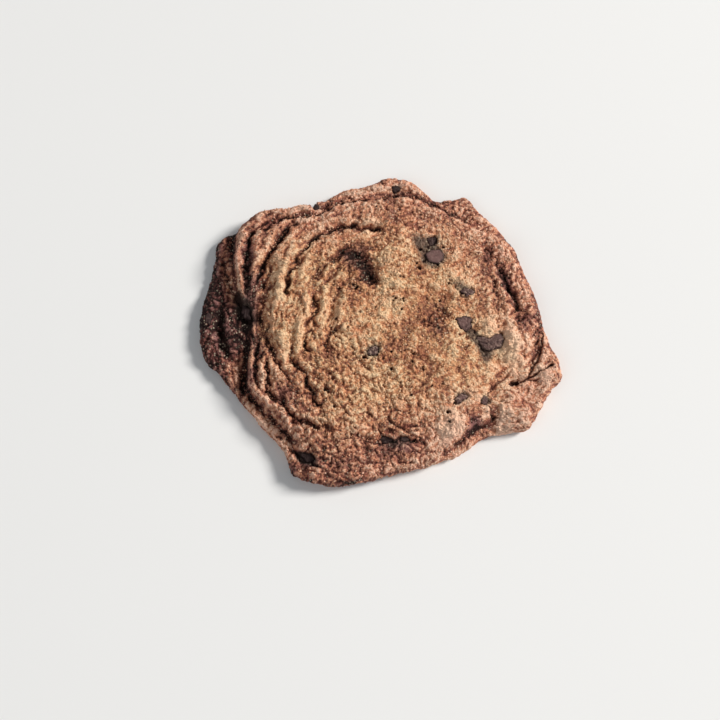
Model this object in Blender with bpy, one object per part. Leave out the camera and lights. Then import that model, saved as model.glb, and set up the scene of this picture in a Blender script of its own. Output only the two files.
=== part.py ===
"""A chocolate chip cookie: one piece of baked dough and the chocolate pieces set in its top.

Run it with: blender --background --python part.py

Blender's metres, +Z up, standing on z = 0. Plan places are in millimetres from the middle that the
outline is drawn round, and an empty carries them all so that the bounding box ends up centred on
the origin. A bearing is in degrees, anticlockwise from +X. The upper crust is the thick sheet of
dough that ends in a step, and the skirt is the thin dough that ran out from under it in the oven.
"""

import math

import bmesh
import bpy
import numpy as np
from mathutils import Matrix, Vector

MM = 0.001

# Driving sizes, in millimetres
CENTRE_HEIGHT = 10.6
CRUST_RISE = 34.0  # the run over which the crust climbs from its shoulder to the centre height
STEP_WIDTH = 2.6  # the run over which the crust steps down to the skirt
RIM_ROUNDING = 3.4  # how far in from the outline the top starts to turn down
RIM_SHARE = 0.55  # how high the rounded rim's widest line stands, as a share of the top there
FOOT_INSET = 1.3  # the underside stops this far inside the outline
FOLD_FADE = 7.0  # a fold's end runs out over this length
FOLD_WANDER = 0.5  # how far a fold's bottom strays from its smooth course
WRINKLE_CENTRE = (3.0, 4.0)  # the fine wrinkles run round this place
WRINKLE_WIDTH = 4.6  # from one fine wrinkle to the next
WRINKLE_DEPTH = 0.55
SWELL_LENGTH = 13.0  # from crest to crest of the dough's broad unevenness
SWELL_HEIGHT = 0.32
MIDDLE_SLIDE = (-0.4, -1.5)  # the baking slid the middle's folds and mounds this far in plan
SLIDE_RUN = 20.0  # over this run in from the outline the slide grows from nothing
POCKET_GAP = 0.4  # dough stands off a chocolate piece by about this much

# Mesh sizes
MIDDLE_CELLS = 26  # cells along a side of the square grid that becomes the round middle
MIDDLE_RADIUS = 17.0
CRUST_RINGS = 17  # rings of faces from the middle out to the crust's edge
SKIRT_RINGS = 5  # and on from there to the outline

# The outline: (bearing, radius)
OUTLINE = [
    (0, 53.5), (10, 52.2), (20, 51.2), (30, 52.0), (42, 52.2), (50, 52.2), (57, 54.0), (61, 51.0),
    (67, 48.0), (72, 49.8), (80, 52.3), (86, 52.2), (95, 49.3), (104, 49.0), (112, 47.7),
    (115, 48.4), (117.5, 46.6), (120, 49.2), (125, 50.0), (131, 53.5), (136, 56.0), (141, 56.9),
    (145, 57.2), (148, 60.0), (152, 61.0), (157, 58.7), (166, 57.8), (175, 58.5), (183, 58.5),
    (190, 57.5), (196, 54.6), (204, 51.9), (214, 50.2), (224, 50.0), (232, 50.8), (236, 52.4),
    (241, 55.6), (250, 54.9), (260, 52.3), (270, 49.5), (280, 48.2), (293, 48.2), (300, 49.0),
    (306, 49.2), (311, 49.3), (320, 54.0), (326, 58.6), (331, 58.3), (338, 59.0), (343, 61.0),
    (348, 59.6), (354, 55.5),
]

# The upper crust's edge: (bearing, radius). Where it lies past the outline there is no skirt.
CRUST_EDGE = [
    (0, 58.0), (25, 55.0), (38, 49.4), (48, 45.8), (67, 44.6), (80, 45.6), (92, 44.2), (105, 44.8),
    (113, 43.8), (118, 46.0), (126, 54.0), (140, 59.0), (146, 56.6), (150, 54.6), (155, 52.2),
    (160, 49.6), (166, 47.4), (172, 44.5), (178, 41.8), (186, 41.3), (193, 43.0), (200, 45.4),
    (206, 46.8), (214, 46.0), (224, 45.6), (232, 46.4), (242, 50.6), (250, 56.5), (270, 53.0),
    (288, 52.6), (296, 46.3), (304, 45.0), (312, 45.0), (319, 46.4), (324, 44.6), (330, 41.6),
    (340, 42.0), (347, 47.4), (354, 55.0),
]

# Height of the crust just inside its edge, and of the skirt just outside: (bearing, height)
SHOULDER_HEIGHT = [
    (0, 6.8), (45, 7.4), (90, 7.8), (135, 8.0), (155, 8.6), (180, 7.4), (205, 7.6), (235, 7.0),
    (270, 6.6), (290, 7.2), (308, 8.6), (325, 8.0), (345, 7.4),
]
SKIRT_HEIGHT = [
    (0, 6.0), (40, 5.4), (66, 5.0), (90, 6.0), (114, 5.6), (135, 6.4), (150, 4.4), (166, 4.0),
    (182, 4.8), (204, 4.4), (235, 5.4), (270, 5.4), (296, 4.8), (308, 4.2), (319, 5.0),
    (326, 6.6), (345, 6.8),
]

# Folds that run round FOLD_CENTRE, each pinched into the dough:
# name: (first bearing, last bearing, its radii at even steps between, depth, half width)
FOLD_CENTRE = (0.0, -1.2)
FOLDS = {
    "north_ledge": (84, 122, (45.2, 45.2, 45.8, 44.8, 47.2), 1.0, 1.2),
    "outer_lip": (120, 162, (45.9, 48.4, 51.2, 52.6, 50.4, 47.4, 44.4), 1.7, 1.7),
    "second_lip": (116, 158, (44.2, 46.0, 45.6, 44.0, 43.4, 42.8), 1.8, 1.4),
    "west_trough": (146, 194, (41.2, 39.8, 39.0, 38.0, 36.6, 34.4), 2.0, 2.4),
    "long_crack": (86, 158, (34.6, 35.0, 36.6, 37.4, 37.2, 35.8, 34.2, 32.4), 1.9, 1.4),
    "inner_north": (112, 150, (28.4, 27.8, 28.2, 28.0, 26.0), 1.3, 1.4),
    "inner_west": (148, 202, (23.8, 21.6, 21.2, 22.6, 24.0, 23.0), 1.8, 1.5),
    "innermost": (142, 206, (17.8, 16.2, 14.8, 14.6, 16.6, 16.8), 1.0, 1.4),
    "between_north": (118, 150, (24.2, 24.0, 23.6, 22.0), 0.8, 1.2),
    "west_pair": (181, 206, (38.8, 39.2, 41.4, 43.2), 1.4, 1.1),
    "southwest": (193, 246, (37.2, 38.2, 40.6, 39.4, 39.6, 37.0, 35.6), 1.6, 1.3),
    "southwest_inner": (188, 212, (33.4, 33.8, 33.6, 33.0), 1.3, 1.2),
    "southwest_dark": (190, 208, (28.0, 28.8, 28.4), 1.4, 1.6),
    "southwest_hook": (210, 236, (28.2, 28.6, 30.4, 31.6), 1.4, 1.3),
    "rim_trough": (188, 236, (42.6, 45.6, 46.8, 45.6, 44.8, 45.4), 2.0, 1.6),
    "skirt_groove": (168, 192, (53.2, 52.4, 51.4, 48.4), 1.4, 1.4),
    "south_shelf": (268, 294, (30.6, 32.8, 34.0, 33.6), 0.9, 1.2),
    "south_chips": (262, 294, (35.4, 36.0, 36.8, 39.4), 1.2, 1.5),
    "east_trough": (4, 40, (45.4, 45.8, 45.8, 46.0, 44.8), 1.7, 1.8),
    "east_inner": (8, 36, (38.4, 39.6, 41.0, 42.0), 0.9, 1.2),
    "southeast_seam": (318, 346, (46.6, 43.4, 40.6, 40.4, 42.8), 1.4, 1.1),
    "southeast_wall": (344, 362, (50.4, 50.6, 51.2, 52.6), 1.5, 1.5),
}

# Mounds and hollows: name: ((x, y), (half length, half width), turn in degrees, height)
SWELLS = {
    "middle_bump": ((4.5, 22.2), (6.5, 6.0), 0, 1.5),
    "hollow_above": ((-7.4, 23.8), (6.0, 3.0), -12, -1.6),
    "hollow_below": ((-3.0, 18.2), (4.8, 2.2), 116, -1.6),
    "broad_dip": ((15.0, 3.0), (10.0, 8.0), 30, -0.7),
    "west_crest": ((-31.0, 6.0), (16.0, 2.8), 92, 1.1),
    "second_crest": ((-24.0, 5.0), (13.0, 2.2), 88, 0.7),
    "northwest_crest": ((-25.0, 26.0), (9.0, 2.2), 48, 0.7),
    "shelf_bump": ((-47.6, -1.6), (6.0, 3.4), 95, 1.4),
    "west_pit": ((-43.0, 4.8), (4.4, 2.8), 80, -1.6),
    "west_hole": ((-43.0, -16.2), (4.4, 1.3), 84, -2.2),
    "southeast_lump": ((23.6, -33.4), (5.6, 4.2), 50, 1.3),
    "south_mound": ((-7.0, -30.0), (9.0, 5.0), 10, 0.6),
    "chunk_collar": ((43.2, -4.4), (7.5, 2.2), 96, 1.5),
    "chunk_pit": ((36.6, -5.2), (5.4, 4.4), 60, -1.3),
    "northeast_pit": ((17.6, 28.0), (5.0, 3.4), 80, -0.7),
    "east_cleft": ((46.2, -15.8), (5.0, 1.1), 12, -2.6),
    "southwest_pit": ((-22.4, -42.8), (3.6, 2.0), -25, -1.8),
    "north_tip_cleft": ((6.0, 45.6), (3.8, 1.0), -4, -1.3),
}

# Chocolate: name: ((x, y), (length, width, depth), turn, how far its face stands above the dough)
CHOCOLATE = {
    "chocolate_flat": ((18.1, 22.5), (6.8, 5.6, 4.6), 10, 0.45),
    "chocolate_pit": ((17.5, 28.2), (4.8, 4.2, 4.0), 30, 0.0),
    "chocolate_crumbly": ((28.5, 10.0), (5.2, 3.4, 4.0), 20, 0.2),
    "chunk_west": ((27.5, -0.2), (6.8, 5.0, 5.0), -35, 0.3),
    "chunk_east": ((35.4, -6.2), (9.6, 6.6, 5.6), -18, 0.4),
    "chocolate_arc": ((25.9, -25.0), (5.8, 4.0, 4.0), 45, 0.1),
    "chocolate_seam": ((33.7, -25.3), (3.2, 2.8, 3.2), 80, 0.2),
    "chocolate_shade": ((-43.4, 4.2), (6.4, 4.8, 3.4), 80, 0.3),
    "chocolate_rim_west": ((-55.6, 2.9), (4.2, 3.0, 2.4), 92, 0.2),
    "chocolate_southwest": ((-22.6, -43.2), (5.6, 3.6, 3.0), -25, 0.3),
    "chocolate_south": ((1.9, -38.1), (4.6, 3.0, 3.4), -5, 0.3),
    "chocolate_south_small": ((7.7, -37.9), (3.2, 2.4, 2.8), 0, 0.3),
    "chocolate_tip": ((5.6, 47.6), (3.6, 2.6, 2.6), -20, 0.2),
    "chocolate_notch": ((-20.9, 41.4), (3.2, 2.6, 3.0), 115, 0.2),
    "chocolate_middle": ((-2.0, -9.6), (5.0, 4.2, 4.4), 40, 0.1),
}
FACE_SHARE = 0.5  # the face that shows is pressed flat at this share of the half depth


def smooth_curve(knots_x, knots_y, x):
    """A smooth curve through the knots that never overshoots them."""
    knots_x, knots_y = np.asarray(knots_x, float), np.asarray(knots_y, float)
    run = np.diff(knots_x)
    slope = np.diff(knots_y) / run
    level = slope[:-1] * slope[1:] <= 0
    with np.errstate(divide="ignore", invalid="ignore"):
        mean = 2 * slope[:-1] * slope[1:] / (slope[:-1] + slope[1:])
    tangent = np.concatenate([slope[:1], np.where(level, 0.0, mean), slope[-1:]])
    i = np.clip(np.searchsorted(knots_x, x, side="right") - 1, 0, len(run) - 1)
    t = np.clip((x - knots_x[i]) / run[i], 0, 1)
    from_left = (1 + 2 * t) * (1 - t) ** 2 * knots_y[i] + t * (1 - t) ** 2 * run[i] * tangent[i]
    from_right = t * t * (3 - 2 * t) * knots_y[i + 1] - t * t * (1 - t) * run[i] * tangent[i + 1]
    return from_left + from_right


def by_bearing(knots, bearing):
    """The value at each bearing of a closed curve given as (bearing, value) knots."""
    knots = np.array(knots, float)
    turn = np.array([360.0, 0.0])
    knots = np.concatenate([knots[-3:] - turn, knots, knots[:3] + turn])
    return smooth_curve(knots[:, 0], knots[:, 1], np.mod(bearing, 360.0))


def ease(x):
    """Climbs smoothly from 0 at 0 to 1 at 1."""
    x = np.clip(x, 0, 1)
    return x * x * (3 - 2 * x)


def waves(x, y, length, seed):
    """Uneven waves of about this length, mostly between -1 and 1."""
    chance = np.random.default_rng(seed)
    total = np.zeros_like(x)
    for _ in range(6):
        heading, start = chance.uniform(0, 2 * math.pi, 2)
        turns = (x * math.cos(heading) + y * math.sin(heading)) / (length * chance.uniform(0.7, 1.4))
        total += np.sin(2 * math.pi * turns + start)
    return total / 2.4


def polar(x, y, centre):
    """Radius, and bearing in degrees, of each plan point about a centre."""
    dx, dy = x - centre[0], y - centre[1]
    return np.hypot(dx, dy), np.degrees(np.arctan2(dy, dx))


def pinch(fold, radius, bearing, stray):
    """How far one fold pulls the dough down at each point, with a low lip raised on each side."""
    first, last, radii, depth, half_width = fold
    along = np.mod(bearing - first + 90, 360) - 90
    span = last - first
    course = smooth_curve(np.linspace(0, span, len(radii)), radii, along)
    to_end = np.minimum(along, span - along) * math.pi / 180 * course
    away = np.abs(radius - course - FOLD_WANDER * stray) / half_width
    lips = 0.3 * np.exp(-((away - 2.3) ** 2))
    return depth * ease(to_end / FOLD_FADE + 0.4) * (np.exp(-away) - lips)


def swell(place, x, y):
    """Height of one mound, or hollow, at each point."""
    (at_x, at_y), (half_length, half_width), turn, height = place
    c, s = math.cos(math.radians(turn)), math.sin(math.radians(turn))
    u = (c * (x - at_x) + s * (y - at_y)) / half_length
    v = (c * (y - at_y) - s * (x - at_x)) / half_width
    return height * np.exp(-(u * u + v * v))


def before_slide(x, y):
    """Where each plan point lay before the baking slid the middle, which is where it is drawn."""
    radius, bearing = polar(x, y, (0, 0))
    share = ease((by_bearing(OUTLINE, bearing) - radius) / SLIDE_RUN)
    return x - MIDDLE_SLIDE[0] * share, y - MIDDLE_SLIDE[1] * share


def fine_wrinkles(x, y):
    """Small folds one after another, deepest in the west and gone in the east and the middle."""
    radius, bearing = polar(x, y, WRINKLE_CENTRE)
    count = (radius + 1.8 * waves(x, y, 26.0, 5)) / WRINKLE_WIDTH + 0.25 * waves(x, y, 12.0, 6)
    profile = np.abs(np.sin(math.pi * count)) - 0.6
    westward = ease(0.55 - 0.75 * np.cos(np.radians(bearing + 8)))
    return WRINKLE_DEPTH * profile * westward * ease((radius - 8) / 10)


def top_height(x, y):
    """Height of the top of the dough at each plan point, in millimetres."""
    radius, bearing = polar(x, y, (0, 0))
    outline = by_bearing(OUTLINE, bearing)
    edge = by_bearing(CRUST_EDGE, bearing)
    shoulder = by_bearing(SHOULDER_HEIGHT, bearing)
    skirt = by_bearing(SKIRT_HEIGHT, bearing)
    inward = np.clip((np.minimum(edge, outline) - radius) / CRUST_RISE, 0, 1)
    crust = shoulder + (CENTRE_HEIGHT - shoulder) * (1 - (1 - inward) ** 3)
    drawn_x, drawn_y = before_slide(x, y)
    crust = crust + fine_wrinkles(drawn_x, drawn_y)
    height = skirt + (crust - skirt) * ease((edge - radius) / STEP_WIDTH + 0.5)
    height = height + SWELL_HEIGHT * waves(x, y, SWELL_LENGTH, 7)
    fold_radius, fold_bearing = polar(drawn_x, drawn_y, FOLD_CENTRE)
    stray = waves(x, y, 9.0, 8)
    for fold in FOLDS.values():
        height = height - pinch(fold, fold_radius, fold_bearing, stray)
    for place in SWELLS.values():
        height = height + swell(place, drawn_x, drawn_y)
    inset = np.clip((outline - radius) / RIM_ROUNDING, 0, 1)
    return height * (RIM_SHARE + (1 - RIM_SHARE) * np.sqrt(1 - (1 - inset) ** 2))


def clear_scene():
    for obj in list(bpy.data.objects):
        bpy.data.objects.remove(obj)


def material(name, colour, roughness):
    made = bpy.data.materials.new(name)
    made.use_nodes = True
    surface = made.node_tree.nodes["Principled BSDF"]
    surface.inputs["Base Color"].default_value = (*colour, 1.0)
    surface.inputs["Roughness"].default_value = roughness
    surface.inputs["Metallic"].default_value = 0.0
    return made


def add_object(name, mesh_in_progress, surface, holder, sharp_degrees=60):
    mesh = bpy.data.meshes.new(name)
    mesh_in_progress.to_mesh(mesh)
    mesh_in_progress.free()
    mesh.materials.append(surface)
    mesh.shade_smooth()
    mesh.set_sharp_from_angle(angle=math.radians(sharp_degrees))
    obj = bpy.data.objects.new(name, mesh)
    obj.parent = holder
    bpy.context.scene.collection.objects.link(obj)
    return obj


def round_off(a, b):
    """Moves points of the square from -1 to 1 on to the unit disc, with even areas."""
    wide = np.abs(a) >= np.abs(b)
    reach = np.where(wide, a, b)
    safe = np.where(np.abs(reach) < 1e-9, 1.0, reach)
    angle = np.where(wide, math.pi / 4 * b / safe, math.pi / 2 - math.pi / 4 * a / safe)
    return reach * np.cos(angle), reach * np.sin(angle)


def open_edges(bm):
    return [edge for edge in bm.edges if edge.is_boundary]


def push_ring(bm, reach, height_share=1.0):
    """Extrudes the open edge to a new ring: reach gives its radius at a bearing, in millimetres."""
    made = bmesh.ops.extrude_edge_only(bm, edges=open_edges(bm))["geom"]
    ring = [part for part in made if isinstance(part, bmesh.types.BMVert)]
    points = np.array([vertex.co for vertex in ring])
    along = np.arctan2(points[:, 1], points[:, 0])
    radius = reach(np.degrees(along)) * MM
    points = np.stack(
        [radius * np.cos(along), radius * np.sin(along), points[:, 2] * height_share], -1)
    for vertex, point in zip(ring, points):
        vertex.co = point


def crust_foot(bearing):
    """Radius of the ring where the crust starts to step down, clear of the rounded rim."""
    outline = by_bearing(OUTLINE, bearing)
    edge = by_bearing(CRUST_EDGE, bearing)
    return np.minimum(edge, outline - RIM_ROUNDING) - STEP_WIDTH / 2


def crust_ring(share):
    return lambda bearing: MIDDLE_RADIUS + share * (crust_foot(bearing) - MIDDLE_RADIUS)


def skirt_ring(share, inset=0.0):
    def reach(bearing):
        foot = crust_foot(bearing)
        return foot + share * (by_bearing(OUTLINE, bearing) - inset - foot)

    return reach


def make_cookie(dough, holder):
    bm = bmesh.new()
    bmesh.ops.create_grid(bm, x_segments=MIDDLE_CELLS, y_segments=MIDDLE_CELLS, size=1.0)
    square = np.array([vertex.co[:2] for vertex in bm.verts])
    for vertex, plan in zip(bm.verts, np.stack(round_off(*square.T), -1) * MIDDLE_RADIUS * MM):
        vertex.co = (*plan, 0.0)
    for ring in range(1, CRUST_RINGS + 1):
        push_ring(bm, crust_ring(ring / CRUST_RINGS))
    for ring in range(1, SKIRT_RINGS + 1):
        push_ring(bm, skirt_ring(ring / SKIRT_RINGS, inset=RIM_ROUNDING * 0.04))
    plan = np.array([vertex.co[:2] for vertex in bm.verts]) / MM
    for vertex, height in zip(bm.verts, top_height(*plan.T) * MM):
        vertex.co.z = height
    push_ring(bm, skirt_ring(1.0), height_share=0.8)
    push_ring(bm, skirt_ring(1.0, inset=0.35), height_share=0.45)
    push_ring(bm, skirt_ring(1.0, inset=FOOT_INSET), height_share=0.0)
    bmesh.ops.contextual_create(bm, geom=open_edges(bm))
    bmesh.ops.triangulate(bm, faces=bm.faces[:])
    bmesh.ops.recalc_face_normals(bm, faces=bm.faces[:])
    return add_object("cookie", bm, dough, holder)


def lump_mesh(size, grow):
    """A rounded lump of chocolate with its face pressed flat, grown all round by grow."""
    bm = bmesh.new()
    bmesh.ops.create_icosphere(bm, subdivisions=2, radius=1.0)
    half = [side / 2 + grow for side in size]
    face = FACE_SHARE * size[2] / 2 + grow
    for vertex in bm.verts:
        x, y, z = (part * side for part, side in zip(vertex.co, half))
        vertex.co = (x * MM, y * MM, min(z, face) * MM)
    return bm


def place_on_top(spot, size, turn, proud):
    """Where a piece goes so that its flat face lies along the dough and stands proud of it."""
    step = 2.0
    x = np.array([spot[0], spot[0] + step, spot[0] - step, spot[0], spot[0]])
    y = np.array([spot[1], spot[1], spot[1], spot[1] + step, spot[1] - step])
    height = top_height(x, y)
    uphill = Vector((height[1] - height[2], height[3] - height[4], 0)) / (2 * step)
    outward = (Vector((0, 0, 1)) - uphill).normalized()
    face = Vector((*spot, float(np.mean(height)) + proud))
    middle = face - outward * FACE_SHARE * size[2] / 2
    lean = Vector((0, 0, 1)).rotation_difference(outward).to_matrix().to_4x4()
    return Matrix.Translation(middle * MM) @ lean @ Matrix.Rotation(math.radians(turn), 4, "Z")


def set_in_pocket(cookie, name, chocolate, holder):
    """One chocolate piece, and the pocket that it fills in the dough."""
    spot, size, turn, proud = CHOCOLATE[name]
    place = place_on_top(spot, size, turn, proud)
    piece = add_object(name, lump_mesh(size, 0.0), chocolate, holder)
    piece.matrix_local = place
    cutter = add_object(name + "_pocket", lump_mesh(size, POCKET_GAP), chocolate, holder)
    cutter.matrix_local = place
    cutter.hide_render = True
    cutter.display_type = "WIRE"
    cut = cookie.modifiers.new(name + "_pocket", "BOOLEAN")
    cut.operation = "DIFFERENCE"
    cut.solver = "EXACT"
    cut.object = cutter


def centre_on_bounds(cookie, holder):
    """Moves the holder so that the cookie's bounding box is centred on the origin."""
    corners = np.array(cookie.bound_box)
    middle = (corners.min(axis=0) + corners.max(axis=0)) / 2
    holder.location = (-middle[0], -middle[1], 0.0)


def main():
    clear_scene()
    holder = bpy.data.objects.new("cookie_middle", None)
    bpy.context.scene.collection.objects.link(holder)
    dough = material("baked_dough", (0.36, 0.19, 0.09), 0.85)
    chocolate = material("chocolate", (0.045, 0.024, 0.017), 0.45)
    cookie = make_cookie(dough, holder)
    for name in CHOCOLATE:
        set_in_pocket(cookie, name, chocolate, holder)
    centre_on_bounds(cookie, holder)


main()
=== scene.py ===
"""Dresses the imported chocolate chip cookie: its baked dough, its chocolate and its crumbs.

Plan places are in millimetres, times MM, from the middle that the outline is drawn round. Bearings
are in degrees, anticlockwise from +X. The dough is built on nearly the same form as its CAD solid,
with the finer wrinkles, cobbles, crumb and pores that a baked crust has.
"""

import math

import bpy
import numpy as np
from mathutils import Matrix, Vector, noise
from mathutils.bvhtree import BVHTree


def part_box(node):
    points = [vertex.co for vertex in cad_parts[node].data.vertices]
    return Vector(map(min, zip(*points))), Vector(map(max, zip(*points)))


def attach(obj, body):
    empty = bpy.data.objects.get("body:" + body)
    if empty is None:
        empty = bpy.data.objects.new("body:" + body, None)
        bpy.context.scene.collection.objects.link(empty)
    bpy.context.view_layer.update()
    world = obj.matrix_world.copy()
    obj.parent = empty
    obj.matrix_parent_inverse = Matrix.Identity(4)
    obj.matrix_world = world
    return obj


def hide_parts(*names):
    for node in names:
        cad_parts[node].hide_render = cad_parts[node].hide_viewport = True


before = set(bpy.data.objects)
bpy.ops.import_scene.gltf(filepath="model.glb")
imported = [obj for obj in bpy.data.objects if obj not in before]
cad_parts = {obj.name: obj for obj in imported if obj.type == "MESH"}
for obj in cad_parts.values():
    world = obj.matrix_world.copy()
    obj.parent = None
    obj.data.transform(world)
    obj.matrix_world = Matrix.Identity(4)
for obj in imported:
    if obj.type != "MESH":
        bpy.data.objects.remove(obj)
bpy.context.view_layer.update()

bl_info = {
    "name": "Chocolate chip cookie",
    "version": (1, 0, 0),
    "blender": (4, 5, 0),
    "location": "3D View > Sidebar > Cookie",
    "description": "Bakes a large chocolate chip cookie with its chocolate and crumbs",
    "category": "Add Mesh",
}

MM = 0.001

# ---------------------------------------------------------------------------------------------
# The form of the dough: its CAD solid's, but for narrower folds and a few folds and mounds that
# differ. Heights and places are in millimetres.
# ---------------------------------------------------------------------------------------------

CENTRE_HEIGHT = 10.6
CRUST_RISE = 34.0  # the run over which the crust climbs from its shoulder to the centre height
STEP_WIDTH = 2.6  # the run over which the crust steps down to the skirt
RIM_ROUNDING = 3.4  # how far in from the outline the top starts to turn down
RIM_SHARE = 0.55  # the share of the top's height that is left at the outline
FOOT_INSET = 1.3  # the rim's foot stands this far inside the outline
LEAST_HEIGHT = 1.2  # the top's least height before its rim is rounded
FOLD_FADE = 7.0  # a fold's end runs out over this length
FOLD_WANDER = 0.5  # scales how far a fold's bottom strays from its smooth course
FOLD_NARROWING = 0.8  # how wide a fold is, as a share of the half width in FOLDS
LIP_HEIGHT = 0.3  # the lips raised beside a fold, as a share of its depth
LIP_DISTANCE = 2.3  # how far from the fold's bottom they stand, in half widths
WRINKLE_CENTRE = (3.0, 4.0)  # the fine wrinkles run round this place
WRINKLE_WIDTH = 4.6  # from one fine wrinkle to the next
WRINKLE_DEPTH = 0.55
SWELL_LENGTH = 13.0  # about how far it is between crests of the top's broad unevenness
SWELL_HEIGHT = 0.32
MIDDLE_SLIDE = (-0.4, -1.5)  # what is drawn on the middle is moved this far in plan
SLIDE_RUN = 20.0  # over this run in from the outline the move grows from nothing

# The outline: (bearing, radius)
OUTLINE = [
    (0, 53.5), (10, 52.2), (20, 51.2), (30, 52.0), (42, 52.2), (50, 52.2), (57, 54.0), (61, 51.0),
    (67, 48.0), (72, 49.8), (80, 52.3), (86, 52.2), (95, 49.3), (104, 49.0), (112, 47.7),
    (115, 48.4), (117.5, 46.6), (120, 49.2), (125, 50.0), (131, 53.5), (136, 56.0), (141, 56.9),
    (145, 57.2), (148, 60.0), (152, 61.0), (157, 58.7), (166, 57.8), (175, 58.5), (183, 58.5),
    (190, 57.5), (196, 54.6), (204, 51.9), (214, 50.2), (224, 50.0), (232, 50.8), (236, 52.4),
    (241, 55.6), (250, 54.9), (260, 52.3), (270, 49.5), (280, 48.2), (293, 48.2), (300, 49.0),
    (306, 49.2), (311, 49.3), (320, 54.0), (326, 58.6), (331, 58.3), (338, 59.0), (343, 61.0),
    (348, 59.6), (354, 55.5),
]

# The upper crust's edge: (bearing, radius). Where it lies past the outline there is no skirt.
CRUST_EDGE = [
    (0, 58.0), (25, 55.0), (38, 49.4), (48, 45.8), (67, 44.6), (80, 45.6), (92, 44.2), (105, 44.8),
    (113, 43.8), (118, 46.0), (126, 54.0), (140, 59.0), (146, 56.6), (150, 54.6), (155, 52.2),
    (160, 49.6), (166, 47.4), (172, 44.5), (178, 41.8), (186, 41.3), (193, 43.0), (200, 45.4),
    (206, 46.8), (214, 46.0), (224, 45.6), (232, 46.4), (242, 50.6), (250, 56.5), (270, 53.0),
    (288, 52.6), (296, 46.3), (304, 45.0), (312, 45.0), (319, 46.4), (324, 44.6), (330, 41.6),
    (340, 42.0), (347, 47.4), (354, 55.0),
]

# Height of the crust just inside its edge, and of the skirt just outside: (bearing, height)
SHOULDER_HEIGHT = [
    (0, 6.8), (45, 7.4), (90, 7.8), (135, 8.0), (155, 8.6), (180, 7.4), (205, 7.6), (235, 7.0),
    (270, 6.6), (290, 7.2), (308, 8.6), (325, 8.0), (345, 7.4),
]
SKIRT_HEIGHT = [
    (0, 6.0), (40, 5.4), (66, 5.0), (90, 6.0), (114, 5.6), (135, 6.4), (150, 4.4), (166, 4.0),
    (182, 4.8), (204, 4.4), (235, 5.4), (270, 5.4), (296, 4.8), (308, 4.2), (319, 5.0),
    (326, 6.6), (345, 6.8),
]

# Folds that run round FOLD_CENTRE, each pinched into the dough:
# name: (first bearing, last bearing, its radii at even steps between, depth, half width)
FOLD_CENTRE = (0.0, -1.2)
FOLDS = {
    "north_ledge": (84, 122, (45.2, 45.2, 45.8, 44.8, 47.2), 1.0, 1.2),
    "outer_lip": (120, 162, (45.9, 48.4, 51.2, 52.6, 50.4, 47.4, 44.4), 1.7, 1.7),
    "second_lip": (116, 158, (44.2, 46.0, 45.6, 44.0, 43.4, 42.8), 1.8, 1.4),
    "west_trough": (146, 194, (41.2, 39.8, 39.0, 38.0, 36.6, 34.4), 2.0, 2.4),
    "long_crack": (86, 158, (34.6, 35.0, 36.6, 37.4, 37.2, 35.8, 34.2, 32.4), 1.9, 1.4),
    "inner_north": (112, 150, (28.4, 27.8, 28.2, 28.0, 26.0), 1.3, 1.4),
    "inner_west": (148, 202, (23.8, 21.6, 21.2, 22.6, 24.0, 23.0), 1.8, 1.5),
    "innermost": (142, 206, (17.8, 16.2, 14.8, 14.6, 16.6, 16.8), 1.0, 1.4),
    "between_north": (118, 150, (24.2, 24.0, 23.6, 22.0), 0.8, 1.2),
    "west_pair": (181, 206, (38.8, 39.2, 41.4, 43.2), 1.4, 1.1),
    "southwest": (193, 246, (37.2, 38.2, 40.6, 39.4, 39.6, 37.0, 35.6), 1.6, 1.3),
    "southwest_inner": (188, 212, (33.4, 33.8, 33.6, 33.0), 1.3, 1.2),
    "southwest_dark": (190, 208, (28.0, 28.8, 28.4), 1.4, 1.6),
    "southwest_hook": (210, 236, (28.2, 28.6, 30.4, 31.6), 1.4, 1.3),
    "rim_trough": (188, 236, (42.6, 45.6, 46.8, 45.6, 44.8, 45.4), 1.5, 1.4),
    "skirt_groove": (168, 192, (53.2, 52.4, 51.4, 48.4), 1.4, 1.4),
    "south_shelf": (268, 294, (30.6, 32.8, 34.0, 33.6), 0.9, 1.2),
    "south_chips": (262, 294, (35.4, 36.0, 36.8, 39.4), 1.2, 1.5),
    "east_trough": (4, 40, (45.6, 45.2, 44.2, 44.6, 44.0), 1.7, 1.8),
    "east_inner": (8, 36, (38.4, 39.6, 41.0, 42.0), 0.9, 1.2),
    "southeast_seam": (318, 346, (46.6, 43.4, 40.6, 40.4, 42.8), 0.4, 1.1),
    "southeast_wall": (344, 362, (50.4, 50.6, 51.2, 52.6), 1.5, 1.5),
}

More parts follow.
